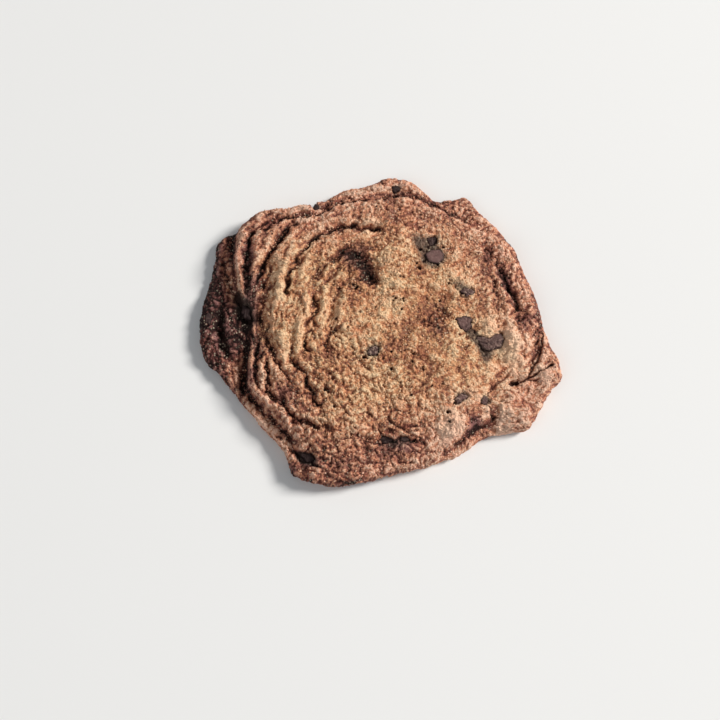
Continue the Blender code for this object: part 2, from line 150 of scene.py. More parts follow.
# Mounds and hollows: name: ((x, y), (half length, half width), turn in degrees, height)
SWELLS = {
    "middle_bump": ((4.5, 22.2), (6.5, 6.0), 0, 1.5),
    "hollow_above": ((-7.4, 23.8), (6.0, 3.0), -12, -1.5),
    "hollow_below": ((-3.0, 18.2), (4.8, 2.2), 116, -1.6),
    "broad_dip": ((15.0, 3.0), (10.0, 8.0), 30, -0.7),
    "west_crest": ((-31.0, 6.0), (16.0, 2.8), 92, 1.1),
    "second_crest": ((-24.0, 5.0), (13.0, 2.2), 88, 0.7),
    "northwest_crest": ((-25.0, 26.0), (9.0, 2.2), 48, 0.7),
    "shelf_bump": ((-47.6, -1.6), (6.0, 3.4), 95, 1.4),
    "west_pit": ((-43.0, 4.8), (4.4, 2.8), 80, -1.6),
    "west_hole": ((-43.0, -16.2), (4.4, 1.3), 84, -2.2),
    "southeast_lump": ((23.2, -33.6), (5.6, 4.0), 50, 1.9),
    "south_mound": ((-7.0, -30.0), (9.0, 5.0), 10, 0.6),
    "chunk_collar": ((43.2, -4.4), (7.5, 2.2), 96, 1.5),
    "chunk_pit": ((36.6, -5.2), (5.4, 4.4), 60, -1.3),
    "chunk_mound": ((35.4, 0.8), (3.0, 2.8), 0, 1.2),
    "northeast_pit": ((17.6, 28.0), (5.0, 3.4), 80, -0.7),
    "east_cleft": ((45.6, -17.8), (4.0, 1.0), 12, -1.3),
    "southwest_pit": ((-22.4, -42.8), (3.6, 2.0), -25, -1.8),
    "north_tip_cleft": ((6.0, 45.6), (3.8, 1.0), -4, -1.3),
}

# ---------------------------------------------------------------------------------------------
# What the visual dough adds. Places and sizes in millimetres again.
# ---------------------------------------------------------------------------------------------

# Thin cracks in the crust, drawn round FOLD_CENTRE: name: (depth, half width, (bearing, radius)...)
CRACKS = {
    "north": (1.5, 0.5, (88, 34.6), (95, 35.2), (99, 35.4), (101, 36.4), (106, 36.6), (110, 37.2),
              (114, 36.9), (118, 36.8), (121, 37.6), (125, 37.3), (130, 36.4), (136, 36.0),
              (142, 35.7), (146, 34.6), (150, 33.2), (154, 32.7), (158, 32.3)),
    "ledge": (1.4, 0.48, (93, 44.2), (98, 44.9), (104, 45.0), (109, 45.0), (111, 44.2), (115, 44.0),
              (118, 43.9), (120, 44.8), (126, 45.2), (131, 44.9), (135, 44.3), (141, 43.8),
              (146, 43.7), (151, 43.4), (156, 42.5)),
    "ledge_branch": (0.8, 0.35, (100, 46.0), (104, 45.6), (107, 45.3), (110, 45.5), (112, 46.3)),
    "outer": (1.1, 0.5, (119, 44.9), (122, 46.0), (126, 47.2), (129, 48.8), (132, 49.5), (136, 50.2),
              (140, 51.3), (142, 52.6), (145, 51.8), (149, 49.4), (153, 47.6), (157, 47.5),
              (160, 45.8), (163, 44.6)),
    "inner_north": (0.7, 0.45, (113, 26.8), (120, 27.0), (125, 27.5), (130, 28.3), (136, 28.0),
                    (140, 27.7), (143, 26.6), (147, 25.9)),
    "second_north": (0.5, 0.35, (119, 24.2), (123, 23.6), (127, 23.8), (130, 24.6)),
    "third_north": (0.5, 0.35, (129, 21.8), (133, 20.9), (137, 20.9), (141, 20.2)),
    "hollow_dash": (0.5, 0.3, (112, 20.9), (116, 20.4), (119, 20.3)),
    "bump_side": (0.9, 0.6, (89, 16.8), (93, 17.2), (97, 18.4), (100, 20.4)),
    "bump_foot": (0.7, 0.4, (91, 16.6), (95, 16.2), (99, 16.6)),
    "inner_west": (0.9, 0.45, (153, 21.8), (157, 20.8), (161, 20.4), (165, 21.6), (170, 21.4),
                   (173, 21.0), (177, 21.5), (181, 22.4), (184, 23.3), (187, 24.0), (191, 23.8),
                   (196, 23.4), (200, 23.1)),
    "innermost_west": (0.6, 0.38, (143, 18.0), (148, 16.9), (154, 16.1), (160, 15.2), (165, 15.9),
                       (170, 15.5), (176, 15.1), (181, 15.7), (187, 15.6), (191, 16.1),
                       (195, 17.4), (199, 17.8), (204, 17.1)),
    "heart_west": (0.7, 0.42, (174, 13.2), (179, 13.5), (184, 14.1), (189, 13.7), (195, 13.1)),
    "short_west": (0.6, 0.35, (149, 30.5), (153, 30.1), (157, 30.2)),
    "dash_west": (0.4, 0.35, (150, 24.4), (155, 23.7), (160, 24.0)),
    "trough": (1.1, 0.5, (175, 35.0), (178, 35.3), (181, 36.0), (184, 35.6), (188, 34.8), (191, 33.9)),
    "west_pair": (0.9, 0.45, (181, 38.5), (186, 38.8), (190, 39.4), (194, 40.6), (198, 41.4)),
    "southwest": (0.9, 0.45, (194, 37.2), (198, 37.6), (202, 38.0), (206, 38.8), (210, 40.0),
                  (214, 40.1), (218, 39.6), (223, 39.3), (228, 39.6), (232, 38.9), (236, 37.7),
                  (240, 36.9)),
    "rim": (1.0, 0.7, (194, 44.9), (197, 45.6), (200, 46.9), (203, 47.9), (206, 47.6),
            (210, 46.6), (215, 46.2)),
    "rim_end": (0.5, 0.4, (213, 46.4), (220, 46.0), (224, 45.2), (231, 45.2), (236, 45.7)),
    "rim_branch": (0.6, 0.38, (198, 44.0), (202, 43.8), (206, 42.8), (209, 42.9)),
    "southwest_inner": (0.6, 0.38, (194, 33.5), (199, 33.6), (203, 33.4), (207, 33.9)),
    "southwest_dark": (0.6, 0.8, (194, 26.4), (197, 27.4), (200, 28.6), (204, 28.4), (208, 27.6)),
    "southwest_hook": (0.9, 0.5, (209, 27.0), (214, 27.4), (218, 28.5), (222, 28.5), (226, 29.0),
                       (229, 30.2), (234, 31.0)),
    "south_inner": (0.4, 0.32, (229, 15.9), (235, 16.5), (241, 16.3), (246, 17.0), (251, 17.9),
                    (256, 18.6)),
    "skirt": (1.1, 0.8, (176, 51.9), (180, 51.6), (184, 50.9), (187, 49.4), (189, 47.6)),
    "southwest_rim": (0.8, 0.4, (225, 47.0), (229, 47.6), (233, 47.8), (238, 48.2)),
    "shelf": (0.7, 0.4, (274, 30.3), (279, 30.8), (281, 32.6), (284, 34.3), (288, 35.0), (291, 35.1)),
    "south": (0.9, 0.6, (270, 37.4), (274, 36.4), (279, 36.7), (284, 37.2), (288, 38.6), (291, 39.8)),
    "south_dash": (0.5, 0.35, (291, 18.8), (293, 19.0), (295, 19.6)),
    "southeast_dash": (0.5, 0.4, (294, 27.4), (297, 27.6), (300, 27.6)),
    "below_middle": (0.6, 0.4, (315, 15.7), (318, 15.1), (321, 14.3), (325, 13.9)),
    "seam": (1.0, 0.3, (319, 48.0), (320, 46.8), (321.5, 45.4), (324, 44.2), (325.5, 42.6),
             (328, 41.8), (331, 40.4), (335, 39.9)),
    "seam_soft": (0.3, 0.5, (333, 40.0), (337, 40.2), (341, 41.2), (345, 42.6)),
    "wall": (0.8, 0.6, (346, 50.6), (349, 50.3), (352, 50.6), (355, 50.9), (357, 51.9), (360, 52.6)),
    "chunk_arc": (0.7, 0.4, (347, 38.2), (350, 39.2), (353, 39.7), (356, 39.8), (359, 39.4),
                  (361.5, 38.6)),
    "chunk_line": (0.7, 0.45, (348, 35.4), (351, 33.6), (354, 32.2), (358, 30.9), (361, 30.3)),
    "east_trough": (1.0, 0.7, (363, 45.4), (368, 45.6), (373, 45.0), (377, 44.2), (381, 43.8),
                    (385, 44.2), (388, 44.4)),
    "east_trough_end": (0.9, 0.5, (389, 43.6), (392, 43.6), (395, 43.8), (398, 43.4)),
    "east_thin": (0.6, 0.35, (371, 38.4), (374, 39.6), (378, 40.2), (383, 40.3)),
    "crumbly_line": (0.8, 0.4, (380, 31.6), (383, 29.6), (387, 28.8), (391, 28.6)),
    "curl": (0.8, 0.35, (68, 14.9), (71, 14.4), (74, 14.3), (78, 14.9)),
    "dots": (0.7, 0.35, (64, 19.3), (66, 19.5), (69, 19.3)),
    "north_tip": (1.0, 0.5, (79, 46.6), (82, 47.2), (85, 46.4), (88, 45.8)),
    "northeast": (0.7, 0.5, (58, 45.8), (62, 46.8), (66, 46.6), (69, 46.0)),
}

# Clefts given by their points in plan: name: ((x, y) of their points), depth, half width
CLEFTS = {
    "east": (((42.6, -18.4), (43.6, -18.2), (44.6, -18.0)), 2.6, 0.72),
    "east_tail": (((44.6, -18.0), (46.4, -17.6), (48.2, -16.4), (50.4, -15.6), (52.6, -14.4),
                   (55.4, -13.2)), 1.5, 0.34),
    "east_spur": (((48.0, -16.4), (49.2, -14.2), (50.8, -11.4), (52.0, -8.4), (52.6, -5.0),
                   (53.0, -2.4)), 1.1, 0.42),
    "east_branch": (((47.6, -17.6), (49.4, -18.0), (51.2, -17.6)), 1.0, 0.28),
    "seam_top": (((36.4, -30.4), (35.6, -28.2), (35.5, -25.6), (35.2, -23.4), (35.0, -21.4)),
                 1.5, 0.32),
    "seam_shelf": (((35.8, -20.6), (37.6, -18.4), (40.4, -16.6), (42.0, -14.6)), 0.8, 0.5),
    "shade": (((-46.4, 11.6), (-44.8, 8.4), (-42.8, 5.4), (-41.4, 2.6)), 1.6, 1.3),
    "shelf_side": (((-50.8, 5.0), (-51.2, 1.4), (-50.6, -2.4), (-48.6, -6.2)), 1.2, 0.7),
    "skirt_join": (((-51.5, 22.0), (-49.6, 16.0), (-47.6, 12.0)), 1.0, 0.9),
    "notch": (((-22.6, 45.0), (-21.4, 42.4), (-20.8, 40.8)), 2.2, 0.6),
    "southwest_side": (((-26.0, -41.6), (-24.0, -42.6), (-21.4, -44.0), (-19.6, -46.0)), 1.2, 0.8),
}

# Where the crust is broken into cobbles: ((x, y), (half length, half width), turn, strength)
COBBLED = [
    ((2, -43), (30, 11), 0, 1.0),
    ((-22, -34), (16, 10), 30, 0.8),
    ((46, -24), (12, 16), 0, 0.8),
    ((46, 12), (7, 24), 0, 1.0),
    ((30, 38), (18, 7), -35, 0.9),
    ((-52, 5), (8, 30), 0, 1.0),
    ((0, -24), (26, 12), 0, 0.8),
    ((0, 40), (26, 8), 0, 0.4),
]

# How brown the crust baked, and painted shade where folds, steps, hollows and the west skirt lie in
# shadow: ((x, y), (half length, half width), turn, amount)
BROWNED_AND_SHADED = [
    ((-32, 31), (7, 6), 45, 0.22),
    ((-31, -22.6), (4, 4), 0, 0.24),
    ((12, -18), (4.6, 8), 0, 0.16),
    ((-55, 4), (6, 24), 0, 0.70),
    ((-46, 1), (4.5, 11), 0, 0.55),
    ((-41, 8), (3.5, 16), 0, 0.38),
    ((-37, -7), (4, 5), 0, 0.42),
    ((-52, 24), (5, 8), 10, 0.22),
    ((-15, -45), (13, 6), -8, 0.28),
    ((0, -40), (6, 4), 20, 0.20),
    ((-34, 34.5), (3, 2.4), 40, 0.18),
    ((16.0, 2.0), (10, 5.0), 24, 0.30),
    ((-16, -9), (5, 3.4), 0, 0.26),
    ((37.0, 17), (4.0, 7), -20, 0.18),
    ((42.4, 9.6), (11, 2.2), -72, 0.34),
    ((41.8, 14.4), (5, 2.2), -66, 0.24),
    ((47.5, 0), (3, 4), 0, 0.20),
    ((24, 37), (6, 3), -24, 0.18),
    ((-8.0, 23.0), (6.4, 3.6), -12, 0.50),
    ((-3.4, 18.0), (4.8, 2.4), 118, 0.50),
    ((-8.0, 12.0), (4.4, 8), 0, 0.20),
    ((-41, -15), (2.4, 4), 0, 0.30),
    ((-20, -22), (3, 5), 30, 0.18),
    ((50, 4), (3.5, 5), 0, 0.22),
    ((-42, 24), (2.4, 4), 20, 0.20),
    ((29.6, -1.4), (2.2, 2.2), 0, 0.3),
    ((4, 37), (5, 4.4), 0, 0.20),
    ((-27, -22), (9, 7), -40, 0.26),
    ((-17, -34), (8, 5), 10, 0.16),
    ((-23.4, -43.6), (4.2, 1.7), -30, 0.55),
    ((30.0, -32.4), (5.0, 1.8), 24, 0.44),
    ((29.4, -31.4), (3.4, 3.0), 0, 0.18),
    ((25.5, -37.0), (5.0, 1.3), 32, 0.24),
    ((35.8, 23.4), (1.6, 3.4), -20, 0.30),
    ((19.5, -1.4), (2.4, 3), 0, 0.32),
    ((-58, 1.6), (2, 2.4), 0, 0.50),
    ((-27.4, -47), (2, 3), 30, 0.30),
    ((-46, -21), (3, 5), 40, 0.20),
    ((-4.4, 16), (2.6, 3), -30, 0.20),
    ((5, -36.5), (8, 4), 0, 0.24),
    ((8.4, -40), (4.6, 2.2), -4, 0.40),
    ((4, -29), (8, 5), 0, 0.16),
    ((-45, 25), (3.4, 6), -8, 0.20),
    ((-42.8, 5.4), (5.0, 2.6), 118, 0.44),
    ((-30.5, 0.6), (2.6, 5), 0, 0.20),
    ((-24.4, -10), (3, 4), 0, 0.20),
    ((-18, 16.4), (2.4, 5), -30, 0.22),
    ((-9.6, 24.4), (3, 2.4), 0, 0.18),
    ((3, -5.4), (7, 5), 0, 0.20),
    ((14, 18.4), (4, 3.2), 0, 0.28),
    ((21, -20.4), (4, 3), 0, 0.20),
    ((4.4, 39.6), (2.4, 5), 0, 0.20),
    ((-40.5, 14), (4.2, 6), 0, 0.30),
    ((-12, 33), (7, 6), 10, 0.22),
    ((-41, 25), (3.4, 5), -20, 0.16),
    ((-47, -5), (3, 5), 0, 0.3),
    ((-41, -17), (3, 4), 0, 0.2),
    ((-26, -11), (4, 4), -40, 0.18),
    ((29.5, -28.5), (2.6, 3.4), 0, 0.20),
    ((-4.6, 27), (3.2, 2.6), 0, 0.24),
    ((-46, 5.6), (4.4, 2.8), 0, 0.24),
    ((13, 7.5), (4.6, 4), 0, 0.18),
]

# Where it stayed pale, and painted light that lifts shaded slopes, crests and the shadow below the
# west lip: ((x, y), (half length, half width), turn, amount)
PALE_AND_LIT = [
    ((4, 8), (5, 10), 0, 0.16),
    ((-32, 6), (4, 13), 0, 0.18),
    ((22.6, -33.8), (4.4, 3.2), 50, 1.70),
    ((-48.5, 15), (2.4, 8), 10, 0.34),
    ((20, -24), (4, 4), 0, 0.16),
    ((53, -15), (6, 7), 0, 0.26),
    ((42.6, -6), (2.4, 9), 8, 0.44),
    ((-6, 46), (9, 2.6), 4, 0.26),
    ((-28, 40), (5, 2), 15, 0.36),
    ((27, -40), (6, 2.5), 15, 0.16),
    ((35.4, 1.0), (2.8, 2.6), 0, 0.50),
    ((2.0, 24), (3, 4), 0, 0.20),
    ((3, -20), (7, 6), 0, 0.16),
    ((-14, 6), (2.6, 4), 0, 0.36),
    ((21, 17.4), (4, 3.4), 0, 0.24),
    ((10, -46.5), (20, 2.4), 6, 0.22),
    ((-34, -35), (12, 2.2), -50, 0.30),
    ((-20, -48.6), (5, 2.2), -10, 0.24),
    ((39, -30), (3.4, 8), 0, 0.48),
    ((43, -34.5), (8, 3), 20, 0.30),
    ((28.4, 4.6), (4, 3), 0, 0.22),
    ((29, 15), (3, 4), 0, 0.20),
    ((29, 38), (3.4, 4), 0, 0.22),
    ((4.6, 2.6), (5, 3), 0, 0.16),
    ((4.6, 14), (3.4, 5), 0, 0.22),
    ((-25.5, -1.5), (3.4, 6), 0, 0.24),
    ((-5, -6), (4, 3), 0, 0.16),
    ((-28, -40), (3, 4), -40, 0.26),
    ((28, -20), (4, 3), 0, 0.16),
    ((41, -9.0), (3.4, 6), 10, 0.50),
    ((36.5, -8.6), (5, 4), 0, 0.16),
    ((-45.6, 11), (2, 4.6), 15, 0.50),
    ((-50.5, 22), (2.6, 5), 0, 0.36),
    ((-56, -5), (2.4, 6), 0, 0.30),
    ((50, -24), (4, 6), 0, 0.30),
    ((-13.8, 5.8), (2, 3), 0, 0.18),
    ((5, -24), (3, 3), 0, 0.16),
    ((-1.5, 35.4), (4, 2.4), 0, 0.18),
    ((35, 32), (5, 5), -50, 0.16),
    ((34.5, -30.5), (2.6, 3), 0, 0.30),
    ((20, -43.6), (7, 2.2), 18, 0.30),
    ((46.5, 5.4), (1.6, 3), -70, 0.20),
    ((13.6, -5), (2.4, 2.6), 0, 0.20),
    ((-6.6, -1), (3.4, 3), 0, 0.24),
    ((-43.4, -13), (1.6, 4), 0, 0.20),
    ((-27.6, -10.4), (1.4, 3.4), 0, 0.20),
    ((-16.4, 26.2), (3.6, 4), -40, 0.18),
    ((-44, -12), (2, 4), 0, 0.16),
    ((38.6, 23.0), (2.4, 3), -40, 0.30),
    ((9, 49), (7, 3), 0, 0.16),
]

# Where cocoa and melted chocolate stained it: ((x, y), (half length, half width), turn, amount)
STAINED = [
    ((13.2, 28.8), (2.0, 3.8), 26, 1.0),
    ((17.9, 23.6), (4.3, 3.7), 10, 1.7),
    ((17.0, 29.0), (2.8, 2.6), 10, 1.1),
    ((27.0, 13.0), (4.2, 2.0), -50, 1.0),
    ((30.4, -2.8), (4.6, 1.7), -48, 1.5),
    ((34.6, -10.4), (2.0, 2.2), 60, 0.8),
    ((34.8, -6.8), (3.0, 2.8), 0, 1.2),
    ((26.4, -22.8), (3.2, 2.0), 30, 0.9),
    ((34.2, -24.0), (1.8, 2.2), 0, 1.0),
    ((-1.6, -8.0), (4.2, 2.8), 30, 1.0),
    ((13.5, -12.6), (3.4, 2.4), 0, 0.24),
    ((5.0, -38.4), (6.4, 2.2), 0, 0.8),
    # The next two also paint the shade of the deep pits that the southwest and west pieces lie in.
    ((-23.0, -43.2), (4.4, 2.2), -28, 1.2),
    ((-43.6, 6.6), (6.4, 3.0), 118, 1.3),
    ((-26.0, 22.5), (1.6, 1.2), 0, 0.5),
    ((-20.6, 41.6), (2.4, 2.4), 0, 0.5),
    ((5.8, 47.2), (3.6, 1.6), -10, 0.6),
    ((-2.0, -24), (2.0, 1.6), 0, 0.2),
]

# Holes that steam left: (x, y, radius, depth)
PORES = [
    (7.8, 9.3, 0.40, 1.4), (7.6, 6.0, 0.34, 1.2), (5.0, 9.8, 0.3, 0.9), (4.9, 8.8, 0.26, 0.8),
    (-0.8, 6.6, 0.3, 0.9), (-5.7, 4.8, 0.34, 0.9), (7.0, 16.8, 0.3, 1.0), (8.0, 16.5, 0.28, 0.8),
    (13.5, 19.8, 0.55, 1.3), (-7.0, 13.0, 0.5, 1.1), (-8.2, 14.0, 0.4, 0.9), (-4.5, -10.2, 0.6, 1.3),
    (4.0, -8.2, 0.4, 0.9), (4.0, -13.7, 0.4, 0.9), (10.8, -11.7, 0.45, 1.1), (11.3, -9.0, 0.36, 0.9),
    (14.0, -14.2, 0.4, 0.8), (21.8, -28.4, 0.6, 1.5), (22.0, -31.7, 0.5, 1.3), (20.0, 8.8, 0.34, 0.9),
    (19.5, -0.5, 0.3, 0.7), (-9.8, -0.4, 0.34, 0.9), (24.2, -25.2, 0.6, 1.4), (30.0, -21.6, 0.4, 0.9),
    (12.6, 21.4, 0.36, 0.9), (29.0, 20.4, 0.3, 0.7), (-13.5, 2.6, 0.36, 0.9), (1.4, -1.8, 0.26, 0.7),
    (-2.6, 14.0, 0.36, 0.9), (4.0, -14.2, 0.5, 1.0), (14.2, -13.4, 0.5, 1.0), (5.6, 9.4, 0.4, 1.1),
    (8.2, 9.2, 0.5, 1.3), (23.0, 14.6, 0.4, 0.9), (-17.0, -20.6, 0.4, 0.9), (10.4, -22.6, 0.5, 1.0),
    (15.0, 22.2, 0.5, 1.0), (19.4, 20.8, 0.5, 1.0), (16.3, 27.2, 0.6, 1.2), (14.2, 26.4, 0.4, 0.8),
    (21.4, 27.2, 0.5, 1.0), (-14.0, -26.0, 0.4, 0.9), (17.0, -19.6, 0.4, 0.8), (22.4, -7.6, 0.3, 0.7),
    (26.0, -2.6, 0.3, 0.7),
]

# The chocolate pieces: how far the face is sunk in millimetres, how chipped the piece is, how much
# dust and how much dull film lie on it, and the face's corners as (bearing, share of the half size).
CHOCOLATE_FORMS = {
    "chocolate_flat": (0.5, 0.05, 0.12, 1.0, (
        (20, 1.0), (62, 1.05), (118, 0.95), (165, 1.05), (228, 1.0), (290, 1.06), (335, 0.95))),
    "chocolate_pit": (1.1, 0.30, 0.10, 0.10, (
        (10, 0.8), (55, 1.1), (100, 0.7), (150, 1.05), (210, 0.75), (255, 1.1), (310, 0.8))),
    "chocolate_crumbly": (0.5, 0.30, 0.6, 0.7, (
        (5, 1.1), (50, 0.7), (110, 0.9), (170, 1.1), (220, 0.7), (265, 0.95), (320, 0.8))),
    "chunk_west": (0.5, 0.18, 0.2, 0.9, (
        (35, 1.0), (95, 0.85), (150, 1.15), (215, 0.8), (270, 1.15), (320, 0.9))),
    "chunk_east": (0.7, 0.20, 0.35, 0.7, (
        (5, 1.05), (40, 1.15), (56, 0.8), (92, 0.2), (140, 0.7), (166, 1.1), (220, 0.85),
        (262, 1.1), (318, 1.05))),
    "chocolate_arc": (0.3, 0.28, 0.60, 0.9, (
        (20, 1.15), (75, 0.8), (130, 0.7), (185, 1.1), (230, 1.0), (268, 0.5), (310, 0.25),
        (352, 0.6))),
    "chocolate_seam": (0.4, 0.20, 0.40, 0.7, (
        (30, 0.9), (95, 1.1), (160, 0.8), (215, 1.05), (280, 1.0), (330, 0.8))),
    "chocolate_shade": (1.2, 0.40, 0.0, 0.0, (
        (15, 0.8), (70, 0.9), (120, 1.15), (190, 0.8), (250, 0.9), (300, 1.15))),
    "chocolate_rim_west": (0.1, 0.20, 0.10, 0.1, (
        (20, 0.9), (85, 1.1), (150, 0.8), (230, 1.0), (290, 1.1))),
    "chocolate_southwest": (1.3, 0.40, 0.0, 0.0, (
        (10, 0.7), (60, 0.8), (150, 1.1), (210, 0.9), (270, 0.8), (330, 1.15))),
    "chocolate_south": (0.8, 0.35, 0.08, 0.0, (
        (0, 1.1), (60, 0.7), (120, 0.9), (180, 1.1), (245, 0.9), (300, 0.7))),
    "chocolate_south_small": (0.8, 0.35, 0.08, 0.0, (
        (0, 1.1), (70, 0.8), (140, 0.9), (200, 1.1), (280, 0.8))),
    "chocolate_tip": (0.6, 0.30, 0.05, 0.0, (
        (0, 1.1), (60, 0.9), (130, 1.0), (200, 0.8), (260, 1.1), (320, 0.8))),
    "chocolate_notch": (0.2, 0.16, 0.05, 0.0, (
        (40, 0.9), (100, 1.1), (180, 0.8), (250, 1.1), (320, 0.9))),
    "chocolate_middle": (0.3, 0.35, 0.80, 0.5, (
        (30, 1.15), (85, 0.75), (140, 0.8), (210, 1.15), (260, 0.7), (320, 0.8))),
}

POCKET_DEPTH = 2.0  # under a piece the dough lies at least this far below its CAD solid's top
POCKET_DISH = 0.25  # and it dips this far round the piece

# How brown the crust is away from the rim and before the patches, and how brown the underside is
CRUST_BROWNING = 0.255
UNDER_BROWNING = 0.42
UNDER_HEIGHT = 0.35  # what lies lower than this is underside

# The unevenness, in millimetres, at which the relief attributes are 1: broad, and fine. The dough's
# colour is painted darker where they are low and lighter where they are high, as shade and light.
BROAD_RELIEF = 0.7
FINE_RELIEF = 0.16

# Colours that tint or cover others in small places: a red tint, painted shade in the gaps
# between grains, sugar with painted glints on the grains, and crumb dust
RED_TINT = (0.98, 0.84, 0.82)
GAP_SHADE = (0.46, 0.33, 0.27)
SUGAR_GLINT = (1.0, 0.86, 0.62)
CRUMB_DUST = (0.36, 0.24, 0.19)
GRAIN_SIZE = 0.00078  # metres across one grain of the crust

# The loose crumbs
CRUMB_RADII = (0.16, 0.42)  # millimetres, before a few are enlarged and all are stretched
CRUMB_INSET = 0.8  # they stay this far inside the outline
STEEPEST = 0.25  # and lie only where the upward part of the skin's normal is more than this
RAY_START = 0.05  # metres above the floor, clear of the cookie

# Mesh sizes
TOP_CELLS = 288  # cells along a side of the grid that becomes the top
UNDER_CELLS = 80  # and of the one that becomes the underside
# The rings of the rim, from the top's edge to the foot: (inset, share of the edge's height)
SIDE_RINGS = [(0.0, 0.8), (0.12, 0.62), (0.35, 0.45), (0.62, 0.28), (0.95, 0.12)]


def colour_setting(name, description, default, most=1):
    return bpy.props.FloatVectorProperty(
        name=name, description=description, subtype="COLOR", size=3, min=0, max=most,
        default=default)


class CookieSettings(bpy.types.PropertyGroup):
    crust_pale: colour_setting(
        "Pale crust", "Colour of the least baked dough", (0.97, 0.665, 0.395))
    crust_golden: colour_setting(
        "Golden crust", "Colour of most of the crust", (0.715, 0.348, 0.168))
    crust_brown: colour_setting(
        "Brown crust", "Colour of the well baked rim", (0.34, 0.142, 0.084))
    crust_dark: colour_setting(
        "Dark crust", "Colour of the thin dough that baked hardest", (0.115, 0.037, 0.020))
    # The scorched colour is also painted into holes and cracks as their shade.
    scorched_and_hole_shade: colour_setting(
        "Scorched crust", "Colour of the darkest creases and edges", (0.026, 0.0085, 0.005))
    rim_tint: colour_setting(
        "Rim tint", "What the colours are multiplied by towards the rim", (1.0, 0.96, 1.17), most=2)
    dark_tint: colour_setting(
        "Dark tint", "What the colours are multiplied by where the crust is dark",
        (0.95, 1.12, 1.40), most=2)
    cocoa: colour_setting(
        "Cocoa stain", "Colour of dough that chocolate melted into", (0.10, 0.068, 0.055))
    chocolate: colour_setting(
        "Chocolate", "Colour of the chocolate", (0.030, 0.016, 0.015))
    bloom: colour_setting(
        "Chocolate bloom", "Colour of the dull film on melted and set chocolate", (0.170, 0.092, 0.082))
    crumb_height: bpy.props.FloatProperty(
        name="Crumb height", description="How far the fine crumb stands out of the crust",
        subtype="DISTANCE", unit="LENGTH", min=0, max=0.001, precision=5, default=0.00034)
    cobble_height: bpy.props.FloatProperty(
        name="Cobble height", description="How far the broken cobbles of crust stand out",
        subtype="DISTANCE", unit="LENGTH", min=0, max=0.003, precision=5, default=0.0010)
    crumbs: bpy.props.IntProperty(
        name="Crumbs", description="How many loose crumbs and sugar grains lie on the crust",
        min=0, max=9600, default=9000)
    light: bpy.props.FloatProperty(
        name="Window light", description="Power of the main light",
        subtype="POWER", unit="POWER", min=0, default=140.0)


# ---------------------------------------------------------------------------------------------
# Shader maths
# ---------------------------------------------------------------------------------------------


class Wire:
    """One value in a material, so that shader maths reads as plain sums."""

    def __init__(self, surface, socket):
        self.surface = surface
        self.socket = socket

    def maths(self, operation, *others):
        inputs = dict(enumerate((self, *others)))
        return self.surface.node("ShaderNodeMath", {"operation": operation}, inputs)

    def __add__(self, other):
        return self.maths("ADD", other)

    def __sub__(self, other):
        return self.maths("SUBTRACT", other)

    def __mul__(self, other):
        return self.maths("MULTIPLY", other)

    __radd__ = __add__
    __rmul__ = __mul__

    def __rsub__(self, other):
        return self.surface.node(
            "ShaderNodeMath", {"operation": "SUBTRACT"}, {0: other, 1: self})

    def between(self, low, high):
        """Climbs from 0 at low to 1 at high, with eased ends."""
        return self.surface.node(
            "ShaderNodeMapRange", {"interpolation_type": "SMOOTHSTEP"},
            {"Value": self, "From Min": low, "From Max": high})

    def red(self):
        """The red part of a colour, as one value."""
        return self.surface.node("ShaderNodeSeparateColor", {}, {"Color": self}, output="Red")

    def clamp(self):
        return self.surface.node("ShaderNodeClamp", {}, {"Value": self})


class Surface:
    """A material being built: each call adds one node and returns its output as a Wire."""

    def __init__(self, name):
        self.material = bpy.data.materials.new(name)
        self.material.use_nodes = True
        self.shader = self.material.node_tree.nodes["Principled BSDF"]

    def put(self, socket, value):
        if isinstance(value, Wire):
            self.material.node_tree.links.new(value.socket, socket)
        elif hasattr(socket.default_value, "__len__") and len(value) == 3:
            socket.default_value = (*value, 1.0) if socket.type == "RGBA" else value
        else:
            socket.default_value = value

    def node(self, kind, settings=None, inputs=None, output=0):
        """Adds a node: its settings come first, then a value or a Wire for each of its sockets."""
        made = self.material.node_tree.nodes.new(kind)
        for name, value in (settings or {}).items():
            setattr(made, name, value)
        for name, value in (inputs or {}).items():
            self.put(made.inputs[name], value)
        return Wire(self, made.outputs[output])

    def ramp(self, share, stops):
        """Goes through the colours of the stops, each given as (share, colour), as share grows."""
        colour = self.node("ShaderNodeValToRGB", {}, {"Fac": share})
        elements = colour.socket.node.color_ramp.elements
        while len(elements) < len(stops):
            elements.new(1.0)
        for index, (place, stop) in enumerate(stops):
            elements[index].position = place
            elements[index].color = (*stop, 1.0)
        return colour

    def attribute(self, name):
        return self.node("ShaderNodeAttribute", {"attribute_name": name}, output="Fac")

    def place(self):
        return self.node("ShaderNodeTexCoord", output="Object")

    def noise(self, size, detail=3.0, roughness=0.55):
        """Cloudy noise from 0 to 1, whose largest blobs are about size metres across."""
        return self.node(
            "ShaderNodeTexNoise", {},
            {"Vector": self.place(), "Scale": 1 / size, "Detail": detail, "Roughness": roughness})

    def cells(self, size, output="Distance"):
        """Cells about size metres across."""
        return self.node(
            "ShaderNodeTexVoronoi", {}, {"Vector": self.place(), "Scale": 1 / size}, output=output)

    def blend(self, first, second, share, how="MIX"):
        """Colour first goes over to second as share goes from 0 to 1."""
        return self.node(
            "ShaderNodeMix", {"data_type": "RGBA", "blend_type": how, "clamp_factor": True},
            {0: share, 6: first, 7: second}, output=2)

    def bump(self, height, distance, strength=1.0):
        return self.node(
            "ShaderNodeBump", {}, {"Height": height, "Distance": distance, "Strength": strength})

    def finish(self, **inputs):
        for name, value in inputs.items():
            self.put(self.shader.inputs[name.replace("_", " ")], value)
        return self.material


